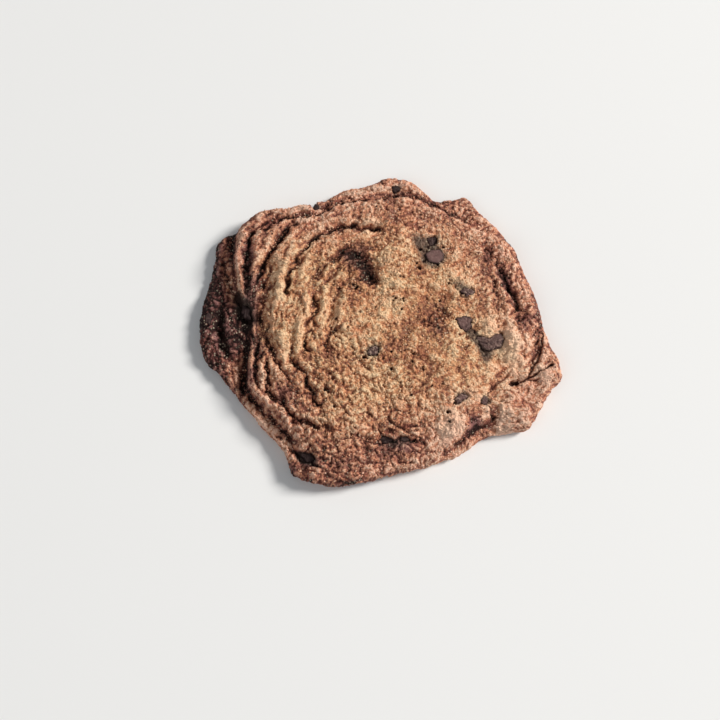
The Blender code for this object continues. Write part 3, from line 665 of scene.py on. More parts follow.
def dough_material(settings):
    """Baked dough. It reads how brown, raised, stained and holed each point of the mesh is, and
    paints shade in its creases, grain gaps and holes, and light on its crests and grains.
    """
    s = Surface("cookie_crust")
    # The browning attribute also holds painted shade and painted light, in patches.
    browning_and_shade = s.attribute("browning_and_shade")
    relief, fine = s.attribute("relief"), s.attribute("fine_relief")
    mottle = s.noise(0.009, detail=3, roughness=0.5) - 0.5
    patchy = s.noise(0.0036, detail=4, roughness=0.60) - 0.5
    calm = 1 - browning_and_shade.between(0.36, 0.85) * 0.5
    baked_and_shaded = browning_and_shade + (mottle * 0.70 + patchy * 0.66) * calm
    # Painted shade in the creases and painted light on the crests, from the relief attributes; the
    # crumbs' flecks add sugar and painted glints.
    baked_and_shaded = baked_and_shaded - relief * 0.20 - fine * 0.14 + s.attribute("fleck_and_glint") * calm * calm
    colour = s.ramp(baked_and_shaded, [
        (0.0, settings.crust_pale), (0.26, settings.crust_golden), (0.52, settings.crust_brown),
        (0.78, settings.crust_dark), (1.0, settings.scorched_and_hole_shade)])
    pinker = s.blend(colour, settings.rim_tint, 1.0, "MULTIPLY")
    colour = s.blend(colour, pinker, s.attribute("blush"))
    redder = s.blend(colour, RED_TINT, 1.0, "MULTIPLY")
    colour = s.blend(colour, redder, ((s.noise(0.004, detail=3) - 0.42) * 4.0).clamp())
    greyer = s.blend(colour, settings.dark_tint, 1.0, "MULTIPLY")
    colour = s.blend(colour, greyer, browning_and_shade.between(0.50, 0.95))
    stain = s.attribute("cocoa") * 1.5 - s.noise(0.0011, detail=3, roughness=0.7) * 1.5 + 0.3
    colour = s.blend(colour, settings.cocoa, stain.clamp() * 0.9)
    sand = s.noise(0.00048, detail=2, roughness=0.6)
    grains = s.cells(GRAIN_SIZE)
    tone = s.cells(GRAIN_SIZE, output="Color").red() + sand * 0.6
    coarse = s.noise(0.006, detail=2).between(0.34, 0.62) * 0.75 + 0.25
    # Painted shade in the gaps between the crust's grains, and sugar with painted glints on the grains'
    # tops.
    gap_shaded = s.blend(colour, GAP_SHADE, 1.0, "MULTIPLY")
    rough = 1 - (browning_and_shade * -1).between(0.1, 0.8)
    grain_gap_shade = rough * grains.between(0.30, 0.72) * (1 - sand.between(0.35, 0.62)) * coarse
    colour = s.blend(colour, gap_shaded, grain_gap_shade * 0.80)
    sugar_glints = tone.between(0.85, 1.20) * (1 - grains.between(0.20, 0.50)) * coarse
    colour = s.blend(colour, s.blend(colour, SUGAR_GLINT, 0.45), sugar_glints)
    # Painted shade in the small pits, and in the steam holes and cracks that the pore attribute marks,
    # in the scorched colour.
    pits = (1 - s.cells(0.0022).between(0.05, 0.14)) * s.noise(0.008).between(0.45, 0.62)
    painted_hole_shade = (s.attribute("pore_and_crack_shade") + pits * 0.7).clamp()
    colour = s.blend(colour, settings.scorched_and_hole_shade, painted_hole_shade)
    height = s.noise(0.0022, detail=6, roughness=0.72) * 1.4 + sand * 0.3 - grains * 0.45
    normal = s.bump(height - pits, 0.0010, 1.0)
    sheen = 0.5 + s.noise(0.0009, detail=3) * 0.4
    return s.finish(Base_Color=colour, Roughness=sheen, Normal=normal, Specular_IOR_Level=0.2)


def chocolate_material(settings):
    """Chocolate that melted and set again: dark, softly shiny, with a dull film and crumbs on it."""
    s = Surface("cookie_chocolate")
    film = s.noise(0.0022, detail=3, roughness=0.5).between(0.18, 0.60)
    film = film * s.attribute("face")
    colour = s.blend(settings.chocolate, settings.bloom, film)
    dust = s.noise(0.0008, detail=3, roughness=0.7).between(0.48, 0.62) * s.attribute("dusting")
    colour = s.blend(colour, CRUMB_DUST, dust * 1.3)
    height = s.noise(0.0013, detail=4, roughness=0.6) + s.noise(0.00045, detail=2) * 0.35
    height = height * (1 - film * 0.85)
    normal = s.bump(height + dust, 0.0005, 0.7)
    gloss = 0.55 + film * 0.1 + dust * 0.2
    return s.finish(Base_Color=colour, Roughness=gloss, Normal=normal, Specular_IOR_Level=0.16)


def floor_material():
    s = Surface("pale_floor")
    cloud = s.noise(0.4, detail=2)
    colour = s.blend((0.80, 0.80, 0.79), (0.83, 0.83, 0.82), cloud)
    return s.finish(Base_Color=colour, Roughness=0.9, Specular_IOR_Level=0.2)


# ---------------------------------------------------------------------------------------------
# The dough's form
# ---------------------------------------------------------------------------------------------


def smooth_curve(knots_x, knots_y, x):
    """A smooth curve through the knots that never overshoots them."""
    knots_x, knots_y = np.asarray(knots_x, float), np.asarray(knots_y, float)
    run = np.diff(knots_x)
    slope = np.diff(knots_y) / run
    level = slope[:-1] * slope[1:] <= 0
    with np.errstate(divide="ignore", invalid="ignore"):
        mean = 2 * slope[:-1] * slope[1:] / (slope[:-1] + slope[1:])
    tangent = np.concatenate([slope[:1], np.where(level, 0.0, mean), slope[-1:]])
    i = np.clip(np.searchsorted(knots_x, x, side="right") - 1, 0, len(run) - 1)
    t = np.clip((x - knots_x[i]) / run[i], 0, 1)
    from_left = (1 + 2 * t) * (1 - t) ** 2 * knots_y[i] + t * (1 - t) ** 2 * run[i] * tangent[i]
    from_right = t * t * (3 - 2 * t) * knots_y[i + 1] - t * t * (1 - t) * run[i] * tangent[i + 1]
    return from_left + from_right


def by_bearing(knots, bearing):
    """The value at each bearing of a closed curve given as (bearing, value) knots."""
    knots = np.array(knots, float)
    turn = np.array([360.0, 0.0])
    knots = np.concatenate([knots[-3:] - turn, knots, knots[:3] + turn])
    return smooth_curve(knots[:, 0], knots[:, 1], np.mod(bearing, 360.0))


def ease(x):
    """Climbs smoothly from 0 at 0 to 1 at 1."""
    x = np.clip(x, 0, 1)
    return x * x * (3 - 2 * x)


def waves(x, y, length, seed):
    """Uneven waves of about this length, mostly between -1 and 1."""
    chance = np.random.default_rng(seed)
    total = np.zeros_like(x)
    for _ in range(6):
        heading, start = chance.uniform(0, 2 * math.pi, 2)
        turns = (x * math.cos(heading) + y * math.sin(heading)) / (length * chance.uniform(0.7, 1.4))
        total += np.sin(2 * math.pi * turns + start)
    return total / 2.4


def polar(x, y, centre):
    """Radius, and bearing in degrees, of each plan point about a centre."""
    dx, dy = x - centre[0], y - centre[1]
    return np.hypot(dx, dy), np.degrees(np.arctan2(dy, dx))


def from_polar(radius, bearing):
    return radius * np.cos(np.radians(bearing)), radius * np.sin(np.radians(bearing))


def follow(first, knots, radii, bearing):
    """The radius at each bearing of an open curve, and the distance to its nearer end.

    The knots are bearings counted from the curve's first one.
    """
    along = np.mod(bearing - first + 90, 360) - 90
    course = smooth_curve(knots, radii, along)
    return course, np.minimum(along, knots[-1] - along) * math.pi / 180 * course


def pinch(fold, radius, bearing, stray):
    """How far one fold pulls the dough down at each point, with a low lip raised on each side."""
    first, last, radii, depth, half_width = fold
    half_width = half_width * FOLD_NARROWING
    course, to_end = follow(first, np.linspace(0, last - first, len(radii)), radii, bearing)
    away = np.abs(radius - course - FOLD_WANDER * stray) / half_width
    lips = LIP_HEIGHT * np.exp(-((away - LIP_DISTANCE) ** 2))
    return depth * ease(to_end / FOLD_FADE + 0.4) * (np.exp(-away) - lips)


def swell(place, x, y):
    """Height of one mound, or hollow, at each point."""
    (at_x, at_y), (half_length, half_width), turn, height = place
    c, s = math.cos(math.radians(turn)), math.sin(math.radians(turn))
    u = (c * (x - at_x) + s * (y - at_y)) / half_length
    v = (c * (y - at_y) - s * (x - at_x)) / half_width
    return height * np.exp(-(u * u + v * v))


def before_slide(x, y):
    """Where each plan point lies in the tables, which is before MIDDLE_SLIDE moves it."""
    radius, bearing = polar(x, y, (0, 0))
    share = ease((by_bearing(OUTLINE, bearing) - radius) / SLIDE_RUN)
    return x - MIDDLE_SLIDE[0] * share, y - MIDDLE_SLIDE[1] * share


def fine_wrinkles(x, y):
    """Small folds one after another, deepest in the west and gone in the east and the middle."""
    radius, bearing = polar(x, y, WRINKLE_CENTRE)
    count = (radius + 1.8 * waves(x, y, 26.0, 5)) / WRINKLE_WIDTH + 0.25 * waves(x, y, 12.0, 6)
    profile = np.abs(np.sin(math.pi * count)) - 0.6
    westward = ease(0.55 - 0.75 * np.cos(np.radians(bearing + 8)))
    inner = 1 - 0.7 * ease((radius - 30) / 6)
    return WRINKLE_DEPTH * profile * westward * inner * ease((radius - 8) / 10)


def top_height(x, y):
    """Height of the top of the dough before its rim is rounded, in millimetres."""
    radius, bearing = polar(x, y, (0, 0))
    outline = by_bearing(OUTLINE, bearing)
    edge = by_bearing(CRUST_EDGE, bearing)
    shoulder = by_bearing(SHOULDER_HEIGHT, bearing)
    skirt = by_bearing(SKIRT_HEIGHT, bearing)
    inward = np.clip((np.minimum(edge, outline) - radius) / CRUST_RISE, 0, 1)
    crust = shoulder + (CENTRE_HEIGHT - shoulder) * (1 - (1 - inward) ** 3)
    drawn_x, drawn_y = before_slide(x, y)
    crust = crust + fine_wrinkles(drawn_x, drawn_y)
    height = skirt + (crust - skirt) * ease((edge - radius) / STEP_WIDTH + 0.5)
    height = height + SWELL_HEIGHT * waves(x, y, SWELL_LENGTH, 7)
    fold_radius, fold_bearing = polar(drawn_x, drawn_y, FOLD_CENTRE)
    stray = waves(x, y, 9.0, 8) + 0.9 * waves(x, y, 4.4, 9)
    for fold in FOLDS.values():
        height = height - pinch(fold, fold_radius, fold_bearing, stray)
    for place in SWELLS.values():
        height = height + swell(place, drawn_x, drawn_y)
    return height


def rim_factor(x, y):
    """The share of the height that is left where the top rounds over to the rim."""
    radius, bearing = polar(x, y, (0, 0))
    inset = np.clip((by_bearing(OUTLINE, bearing) - radius) / RIM_ROUNDING, 0, 1)
    return RIM_SHARE + (1 - RIM_SHARE) * np.sqrt(1 - (1 - inset) ** 2)


def patches(table, x, y):
    """The sum of a table of soft patches at each point."""
    return sum(swell(place, x, y) for place in table)


def cell_relief(x, y, size, seed):
    """Rounded cobbles about size across, 1 at their tops and 0 in the gaps."""
    points = np.stack([x / size, y / size, np.full_like(x, seed)], -1)
    near = np.array([noise.voronoi(Vector(p))[0][:2] for p in points])
    return np.clip((near[:, 1] - near[:, 0]) * 1.7, 0, 1) ** 0.6


def crinkles(x, y):
    """Sharp creases that run along the folds, 0 on their crests and -1 in their bottoms."""
    radius, bearing = polar(x, y, WRINKLE_CENTRE)
    along = np.radians(bearing)
    total = np.zeros_like(x)
    for size, turns, weight, seed in ((2.3, 4.5, 0.62, 0.3), (1.2, 8.0, 0.38, 7.7)):
        points = np.stack([np.cos(along) * turns, np.sin(along) * turns, radius / size + seed], -1)
        level = np.array([noise.noise(Vector(p)) for p in points])
        total -= weight * (1 - np.minimum(np.abs(level) / 0.26, 1)) ** 1.5
    return total


def crack_depth(x, y):
    """How deep the thin cracks and clefts cut at each point, in millimetres."""
    x, y = before_slide(x, y)
    radius, bearing = polar(x, y, FOLD_CENTRE)
    stray = 0.35 * waves(x, y, 3.4, 51) + 0.12 * waves(x, y, 1.6, 52)
    depth = np.zeros_like(x)
    for deep, half_width, *course in CRACKS.values():
        bearings, radii = np.array(course, float).T
        middle, to_end = follow(bearings[0], bearings - bearings[0], radii, bearing)
        away = np.abs(radius - middle - stray) / half_width
        patchy = np.clip(0.9 + 0.5 * waves(x, y, 4.0, 53), 0.3, 1.3)
        cut = 1.15 * deep * patchy * ease(to_end / 1.6 + 0.5)
        depth = np.maximum(depth, cut * np.exp(-away))
    for course, deep, half_width in CLEFTS.values():
        away = to_line(x + stray, y + stray, course) / half_width
        depth = np.maximum(depth, deep * np.exp(-away ** 2))
    return depth


def to_line(x, y, course):
    """Distance of each point from a line through the given places."""
    nearest = np.full_like(x, 1e9)
    for (ax, ay), (bx, by) in zip(course, course[1:]):
        dx, dy = bx - ax, by - ay
        t = np.clip(((x - ax) * dx + (y - ay) * dy) / (dx * dx + dy * dy), 0, 1)
        nearest = np.minimum(nearest, np.hypot(x - ax - t * dx, y - ay - t * dy))
    return nearest


def surface_detail(x, y, cobble_height):
    """The wrinkles and cobbles that are finer than the CAD solid's, in millimetres."""
    x, y = before_slide(x, y)
    radius, bearing = polar(x, y, WRINKLE_CENTRE)
    westward = ease(0.62 - 0.66 * np.cos(np.radians(bearing))) * ease((radius - 7) / 9)
    cobbled = np.clip(patches(COBBLED, x, y), 0, 1)
    warp_x, warp_y = x + 0.8 * waves(x, y, 5.0, 11), y + 0.8 * waves(x, y, 5.0, 12)
    large = cell_relief(warp_x, warp_y, 3.2, 2.5) - 0.6
    small = cell_relief(warp_x, warp_y, 1.6, 8.5) - 0.6
    height = cobble_height / MM * large * (0.38 + 0.62 * cobbled)
    height += 0.42 * small * (0.5 + 0.5 * cobbled)
    to_lip = np.mod(bearing - 128 + 180, 360) - 180
    smoother = 1 - 0.6 * np.exp(-((to_lip / 34) ** 2)) * ease((radius - 24) / 6)
    height += 0.8 * crinkles(x, y) * (0.12 + 0.88 * westward) * (1 - 0.55 * cobbled) * smoother
    height += 0.24 * waves(x, y, 4.6, 21) + 0.12 * waves(x, y, 2.5, 22)
    return height


def pore_mask(x, y):
    """1 in the middle of a steam hole, falling to 0 at its rim, and how deep the holes go."""
    x, y = before_slide(x, y)
    mask, depth = np.zeros_like(x), np.zeros_like(x)
    ragged = 1 + 0.35 * waves(x, y, 1.1, 61)
    for at_x, at_y, radius, deep in PORES:
        hole = np.clip(1.3 - np.hypot(x - at_x, (y - at_y) * 1.25) * ragged / (radius * 1.1), 0, 1)
        mask, depth = np.maximum(mask, hole), np.maximum(depth, hole * deep)
    return mask, depth


def outline_middle():
    """The middle of the outline's box, which the CAD model puts on the origin."""
    bearing = np.arange(0, 360, 0.5)
    x, y = from_polar(by_bearing(OUTLINE, bearing), bearing)
    return np.array([(x.min() + x.max()) / 2, (y.min() + y.max()) / 2])


MIDDLE = outline_middle()


def chocolate_place(name):
    """Plan middle and half sizes of a chocolate piece's CAD solid, and the height of its face."""
    low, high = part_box(name)
    middle = (np.array(low) + np.array(high)) / 2 / MM
    half = (np.array(high) - np.array(low)) / 2 / MM
    return middle[:2] + MIDDLE, half, high[2] / MM


def corner_reach(corners, bearing):
    """Reach of a face with straight sides between its corners, at each bearing about its middle."""
    bearings, shares = np.array(corners, float).T
    bearings, shares = np.append(bearings, bearings[0] + 360), np.append(shares, shares[0])
    at = np.mod(bearing - bearings[0], 360) + bearings[0]
    i = np.clip(np.searchsorted(bearings, at, side="right") - 1, 0, len(corners) - 1)
    before, after = np.radians(at - bearings[i]), np.radians(bearings[i + 1] - at)
    r0, r1 = shares[i], shares[i + 1]
    return r0 * r1 * np.sin(before + after) / (r0 * np.sin(before) + r1 * np.sin(after))


def pockets(x, y, height):
    """Lowers the dough under each chocolate piece, so that the piece shows."""
    for name, (*_, corners) in CHOCOLATE_FORMS.items():
        (at_x, at_y), half, face = chocolate_place(name)
        u, v = (x - at_x) / half[0], (y - at_y) / half[1]
        reach = corner_reach(corners, np.degrees(np.arctan2(v, u)))
        away = np.hypot(u, v) / reach + 0.08 * waves(x, y, 1.8, 31) + 0.05 * waves(x, y, 0.9, 32)
        inside = ease((1.02 - away) / 0.12)
        height = height - POCKET_DISH * ease((1.4 - away) / 0.4) * (1 - inside)
        height = height * (1 - inside) + np.minimum(height, face - POCKET_DEPTH) * inside
    return height


# ---------------------------------------------------------------------------------------------
# Modelling helpers
# ---------------------------------------------------------------------------------------------


def deselect_all():
    if bpy.context.mode != "OBJECT":
        bpy.ops.object.mode_set(mode="OBJECT")
    bpy.ops.object.select_all(action="DESELECT")


def made_object(name):
    """Names the primitive that was just added."""
    obj = bpy.context.active_object
    obj.name = name
    obj.data.name = name
    return obj


def read_points(obj):
    points = np.empty(len(obj.data.vertices) * 3)
    obj.data.vertices.foreach_get("co", points)
    return points.reshape(-1, 3)


def write_points(obj, points):
    obj.data.vertices.foreach_set("co", np.ascontiguousarray(points, float).ravel())
    obj.data.update()


def write_attribute(obj, name, values):
    attribute = obj.data.attributes.new(name, "FLOAT", "POINT")
    attribute.data.foreach_set("value", np.ascontiguousarray(values, np.float32))


def round_off(a, b):
    """Moves points of the square from -1 to 1 on to the unit disc, with even areas."""
    wide = np.abs(a) >= np.abs(b)
    reach = np.where(wide, a, b)
    safe = np.where(np.abs(reach) < 1e-9, 1.0, reach)
    angle = np.where(wide, math.pi / 4 * b / safe, math.pi / 2 - math.pi / 4 * a / safe)
    return reach * np.cos(angle), reach * np.sin(angle)


def round_grid(name, cells):
    """A flat grid, and where on the unit disc its points go: their bearings and their radii."""
    deselect_all()
    bpy.ops.mesh.primitive_grid_add(x_subdivisions=cells, y_subdivisions=cells, size=2)
    obj = made_object(name)
    points = read_points(obj)
    share, bearing = polar(*round_off(points[:, 0], points[:, 1]), (0, 0))
    return obj, bearing, share


def fractal_at(points, roughness, octaves):
    """Fractal noise at each of these places."""
    return np.array([noise.fractal(Vector(p), roughness, 2.0, octaves) for p in points])


def crumbly_outline(bearing):
    """The outline with the small bites and crumbs of a baked edge."""
    along = np.radians(bearing)
    points = np.stack([np.cos(along) * 14, np.sin(along) * 14, np.full_like(along, 1.5)], -1)
    return by_bearing(OUTLINE, bearing) + 0.45 * fractal_at(points, 0.7, 4)


def displace(obj, name, kind, size, strength, group=None, **texture_settings):
    """Pushes the surface along its normals by a texture, and applies it."""
    texture = bpy.data.textures.new(name, kind)
    for key, value in {"noise_scale": size, **texture_settings}.items():
        setattr(texture, key, value)
    push = obj.modifiers.new(name, "DISPLACE")
    push.texture = texture
    push.texture_coords = "LOCAL"
    push.strength = strength
    push.mid_level = 0.5
    if group:
        push.vertex_group = group
    bpy.context.view_layer.objects.active = obj
    bpy.ops.object.modifier_apply(modifier=push.name)


def select_open_edges():
    """Selects the edges of the active mesh that have one face."""
    bpy.ops.object.mode_set(mode="EDIT")
    bpy.ops.mesh.select_mode(type="EDGE")
    bpy.ops.mesh.select_all(action="DESELECT")
    bpy.ops.mesh.select_non_manifold(
        extend=False, use_wire=False, use_boundary=True, use_multi_face=False,
        use_non_contiguous=False, use_verts=False)


def push_side_ring(obj, inset, share, rim_height):
    """Extrudes the open edge once more: inset from the outline, at a share of the rim's height."""
    deselect_all()
    bpy.context.view_layer.objects.active = obj
    obj.select_set(True)
    select_open_edges()
    bpy.ops.mesh.extrude_region()
    bpy.ops.object.mode_set(mode="OBJECT")
    chosen = np.empty(len(obj.data.vertices), bool)
    obj.data.vertices.foreach_get("select", chosen)
    points = read_points(obj)
    along = np.arctan2(points[chosen, 1], points[chosen, 0])
    radius = (crumbly_outline(np.degrees(along)) - inset) * MM
    height = rim_height(np.degrees(along)) * share
    points[chosen] = np.stack([radius * np.cos(along), radius * np.sin(along), height], -1)
    write_points(obj, points)


def dough_top(settings):
    """The top of the dough as one round grid."""
    obj, bearing, share = round_grid("baked_cookie", TOP_CELLS)
    outline = by_bearing(OUTLINE, bearing)
    crumbly = np.interp(bearing, *crumbly_by_bearing())
    radius = share * (outline - 0.14) + (crumbly - outline) * share ** 12
    x, y = from_polar(radius, bearing)
    height = top_height(x, y) + surface_detail(x, y, settings.cobble_height)
    height = height - crack_depth(x, y)
    height = pockets(x, y, height) - pore_mask(x, y)[1]
    height = np.maximum(height, LEAST_HEIGHT) * rim_factor(x, y)
    write_points(obj, np.stack([x, y, height], -1) * MM)
    return obj


def crumbly_by_bearing():
    bearing = np.arange(-181.0, 181.5, 0.25)
    return bearing, crumbly_outline(bearing)


def dough_sides(obj):
    """The rim, from the edge of the top round and under to the foot."""
    points = read_points(obj)
    bearing = np.degrees(np.arctan2(points[:, 1], points[:, 0]))
    share = np.hypot(points[:, 0], points[:, 1]) / (by_bearing(OUTLINE, bearing) * MM)
    rim = share > 0.985
    order = np.argsort(bearing[rim])
    rim_bearing, rim_height = bearing[rim][order], points[rim, 2][order]

    def height_at(at):
        return np.interp(at, rim_bearing, rim_height, period=360)

    for inset, height_share in SIDE_RINGS:
        push_side_ring(obj, inset, height_share, height_at)
    push_side_ring(obj, FOOT_INSET, 0.0, height_at)


def dough_underside(obj):
    """The flat underside: a coarser round grid, bridged to the foot."""
    under, bearing, share = round_grid("baked_cookie_underside", UNDER_CELLS)
    radius = share * (by_bearing(OUTLINE, bearing) - FOOT_INSET - 0.5)
    x, y = from_polar(radius, bearing)
    rise = 0.10 + 0.10 * waves(x, y, 8.0, 41) + 0.06 * waves(x, y, 3.0, 42)
    rise = np.where(share > 0.97, 0.0, np.maximum(rise, 0))
    write_points(under, np.stack([x, y, rise], -1) * MM)
    under.data.flip_normals()
    under.select_set(True)
    obj.select_set(True)
    bpy.context.view_layer.objects.active = obj
    bpy.ops.object.join()
    select_open_edges()
    bpy.ops.mesh.bridge_edge_loops()
    bpy.ops.mesh.select_all(action="SELECT")
    bpy.ops.mesh.normals_make_consistent(inside=False)
    bpy.ops.object.mode_set(mode="OBJECT")


def crumble(obj, settings):
    """The crumb itself, pushed out of the top and the sides but not out of the underside."""
    points = read_points(obj)
    upper = obj.vertex_groups.new(name="upper")
    for index in np.flatnonzero(points[:, 2] > 0.4 * MM):
        upper.add([int(index)], 1.0, "REPLACE")
    strength = settings.crumb_height
    displace(obj, "coarse_crumb", "CLOUDS", 0.0016, strength * 1.3, "upper", noise_depth=2)
    displace(obj, "fine_crumb", "CLOUDS", 0.0008, strength, "upper", noise_depth=1)
    obj.vertex_groups.clear()


def blur(grid, reach):
    """Averages a square grid of values over a window of 2 * reach + 1 points, three times."""
    for axis in (0, 1, 0, 1, 0, 1):
        padded = np.pad(grid, [(reach + 1, reach) if a == axis else (0, 0) for a in (0, 1)], "edge")
        total = np.cumsum(padded, axis=axis)
        width = 2 * reach + 1
        high = np.take(total, range(width, total.shape[axis]), axis=axis)
        low = np.take(total, range(0, total.shape[axis] - width), axis=axis)
        grid = (high - low) / width
    return grid


def crust_values(x, y):
    """How brown, blushed, stained and holed the crust is at each plan point, with painted shade
    and light in its browning and painted shade in its holes and cracks.
    """
    radius, bearing = polar(x, y, (0, 0))
    to_rim = by_bearing(OUTLINE, bearing) - radius
    browning_and_shade = CRUST_BROWNING + 0.12 * ease(1 - to_rim / 16) + 0.08 * ease(1 - to_rim / 3)
    drawn = before_slide(x, y)
    # The patches paint shade and light as well as browning.
    browning_and_shade = browning_and_shade + patches(BROWNED_AND_SHADED, *drawn) - patches(PALE_AND_LIT, *drawn)
    edge = by_bearing(CRUST_EDGE, bearing)
    step = np.exp(-(((radius - edge) / 1.6) ** 2)) * (edge < by_bearing(OUTLINE, bearing))
    browning_and_shade = browning_and_shade + 0.16 * step
    blush = ease(1.1 - to_rim / 26)
    # Painted shade for the cracks, as deep as they cut.
    crack_shade = np.clip(crack_depth(x, y) * 1.2 - 0.5, 0, 0.8)
    return {
        "browning_and_shade": browning_and_shade,
        "blush": blush,
        "cocoa": np.clip(patches(STAINED, *drawn), 0, 1),
        "pore_and_crack_shade": np.clip(np.maximum(pore_mask(x, y)[0] * 1.5, crack_shade), 0, 1),
    }


def colour_attributes(obj):
    """Writes on the mesh what the dough's material reads."""
    points = read_points(obj) / MM
    side = TOP_CELLS + 1
    count = side * side
    top = (points[:count, 2] / rim_factor(*points[:count, :2].T)).reshape(side, side)
    values = crust_values(points[:, 0], points[:, 1])
    under = points[:, 2] < UNDER_HEIGHT
    values["browning_and_shade"][under] = UNDER_BROWNING + 0.05 * values["blush"][under]
    values["cocoa"][under] = 0
    values["pore_and_crack_shade"][under] = 0
    for name, reach, full in (("relief", 4, BROAD_RELIEF), ("fine_relief", 1, FINE_RELIEF)):
        relief = np.zeros(len(points))
        relief[:count] = (top - blur(top, reach)).ravel() / full
        values[name] = np.clip(relief, -1.5, 1.5)
    values["fleck_and_glint"] = np.zeros(len(points))
    for name, value in values.items():
        write_attribute(obj, name, value)


def settle(obj, piece_slot, *nodes):
    """Puts a finished piece in the frame: on the root body, with what it replaces hidden.
    piece_slot is not used.
    """
    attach(obj, "root")
    if nodes:
        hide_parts(*nodes)


def shared_material(name, make, settings):
    return bpy.data.materials.get(name) or make(settings)


# ---------------------------------------------------------------------------------------------
# Operators
# ---------------------------------------------------------------------------------------------


class COOKIE_OT_dough(bpy.types.Operator):
    """Model the baked dough: its wrinkled top, crumbly rim and flat underside"""

    bl_idname = "cookie.dough"
    bl_label = "Baked dough"

    def execute(self, context):
        settings = context.scene.cookie_settings
        obj = dough_top(settings)
        dough_sides(obj)
        dough_underside(obj)
        crumble(obj, settings)
        points = read_points(obj)
        points[:, 2] = np.maximum(points[:, 2], 0)
        write_points(obj, points)
        colour_attributes(obj)
        points[:, :2] -= MIDDLE * MM
        write_points(obj, points)
        obj.data.shade_smooth()
        obj.data.materials.append(shared_material("cookie_crust", dough_material, settings))
        settle(obj, "baked_dough", "cookie")
        return {"FINISHED"}


class COOKIE_OT_chocolate(bpy.types.Operator):
    """Model each chocolate piece in the place of its CAD solid"""

    bl_idname = "cookie.chocolate"
    bl_label = "Chocolate pieces"

    def execute(self, context):
        settings = context.scene.cookie_settings
        finish = shared_material("cookie_chocolate", chocolate_material, settings)
        for seed, (name, form) in enumerate(CHOCOLATE_FORMS.items(), 1):
            obj = chocolate_piece(name, form, seed)
            obj.data.materials.append(finish)
            settle(obj, "chocolate", name)
        return {"FINISHED"}


def chocolate_piece(name, form, seed):
    """One lump of chocolate: a flat broken face with corners, softened by the oven."""
    sunk, chipped, dusting, film, corners = form
    low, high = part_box(name)
    middle, half = (low + high) / 2, (high - low) / 2
    deselect_all()
    bpy.ops.mesh.primitive_ico_sphere_add(subdivisions=5 if half.x > 0.0024 else 4, radius=1.0)
    obj = made_object(name + "_piece")
    points = read_points(obj)
    bearing = np.degrees(np.arctan2(points[:, 1], points[:, 0]))
    across, up = np.hypot(points[:, 0], points[:, 1]), points[:, 2]
    squared = (np.abs(across) ** 5 + np.abs(up) ** 5) ** (-1 / 5)
    reach = corner_reach(corners, bearing)
    wobble, rough = fractal_at(points * 1.7 + seed, 0.8, 4), fractal_at(points * 5 + seed, 0.7, 3)
    grow = squared * (1 + chipped * (0.5 * wobble + 0.35 * rough))
    points *= grow[:, None]
    points[:, :2] *= reach[:, None]
    points[:, 2] *= 1 + 0.1 * points[:, 0] * math.sin(seed * 2.4)
    points[:, 2] = np.minimum(points[:, 2], 1.0)
    limit = np.array((1.04, 1.04, 1.0))
    points = np.clip(points, -limit, limit) * np.array(half)
    points[:, 2] -= sunk * MM * (points[:, 2] > 0)
    inward = 1 - across * grow
    face = film * ease(inward / 0.3) * (points[:, 2] > 0)
    write_points(obj, points + np.array(middle))
    write_attribute(obj, "dusting", np.full(len(points), dusting))
    write_attribute(obj, "face", face)
    obj.data.shade_smooth()
    return obj


class COOKIE_OT_crumbs(bpy.types.Operator):
    """Scatter crumbs and sugar grains over the crust, half sunk in it"""

    bl_idname = "cookie.crumbs"
    bl_label = "Crumbs"

    def execute(self, context):
        settings = context.scene.cookie_settings
        dough = bpy.data.objects["baked_cookie"]
        skin = BVHTree.FromObject(dough, context.evaluated_depsgraph_get())
        chance = np.random.default_rng(77)
        deselect_all()
        bpy.ops.mesh.primitive_ico_sphere_add(subdivisions=1, radius=1.0)
        obj = made_object("crust_crumbs")
        grain = read_points(obj)
        grain_faces = np.array([face.vertices[:] for face in obj.data.polygons])
        spots = crumb_spots(skin, chance, settings.crumbs)
        points = [crumb_points(grain, chance, hit, normal) for _, _, hit, normal in spots]
        faces = [grain_faces + len(grain) * index for index in range(len(spots))]
        mesh = bpy.data.meshes.new("crust_crumbs")
        mesh.from_pydata(np.concatenate(points), [], np.concatenate(faces).tolist())
        obj.data = mesh
        owners = np.repeat(np.arange(len(spots)), len(grain))
        plan = np.array([spot[:2] for spot in spots])
        for name, value in crust_values(plan[:, 0], plan[:, 1]).items():
            write_attribute(obj, name, value[owners])
        write_attribute(obj, "relief", np.zeros(len(owners)))
        write_attribute(obj, "fine_relief", np.zeros(len(owners)))
        # Crumbs mostly paler than the crust: sugar, and painted glints on the grains.
        write_attribute(obj, "fleck_and_glint", chance.normal(-0.16, 0.18, len(spots))[owners])
        mesh.shade_smooth()
        mesh.materials.append(shared_material("cookie_crust", dough_material, settings))
        settle(obj, "baked_dough")
        return {"FINISHED"}


def crumb_spots(skin, chance, count):
    """The plan place, place on the skin and normal of each crumb, evenly but for steep sides."""
    spots = []
    while len(spots) < count:
        bearing = chance.uniform(0, 360)
        reach = float(by_bearing(OUTLINE, np.array([bearing]))[0]) - CRUMB_INSET
        radius = reach * math.sqrt(chance.uniform())
        x, y = radius * math.cos(math.radians(bearing)), radius * math.sin(math.radians(bearing))
        start = Vector(((x - MIDDLE[0]) * MM, (y - MIDDLE[1]) * MM, RAY_START))
        hit, normal, _, _ = skin.ray_cast(start, Vector((0, 0, -1)))
        if hit is not None and normal.z > STEEPEST:
            spots.append((x, y, hit, normal))
    return spots


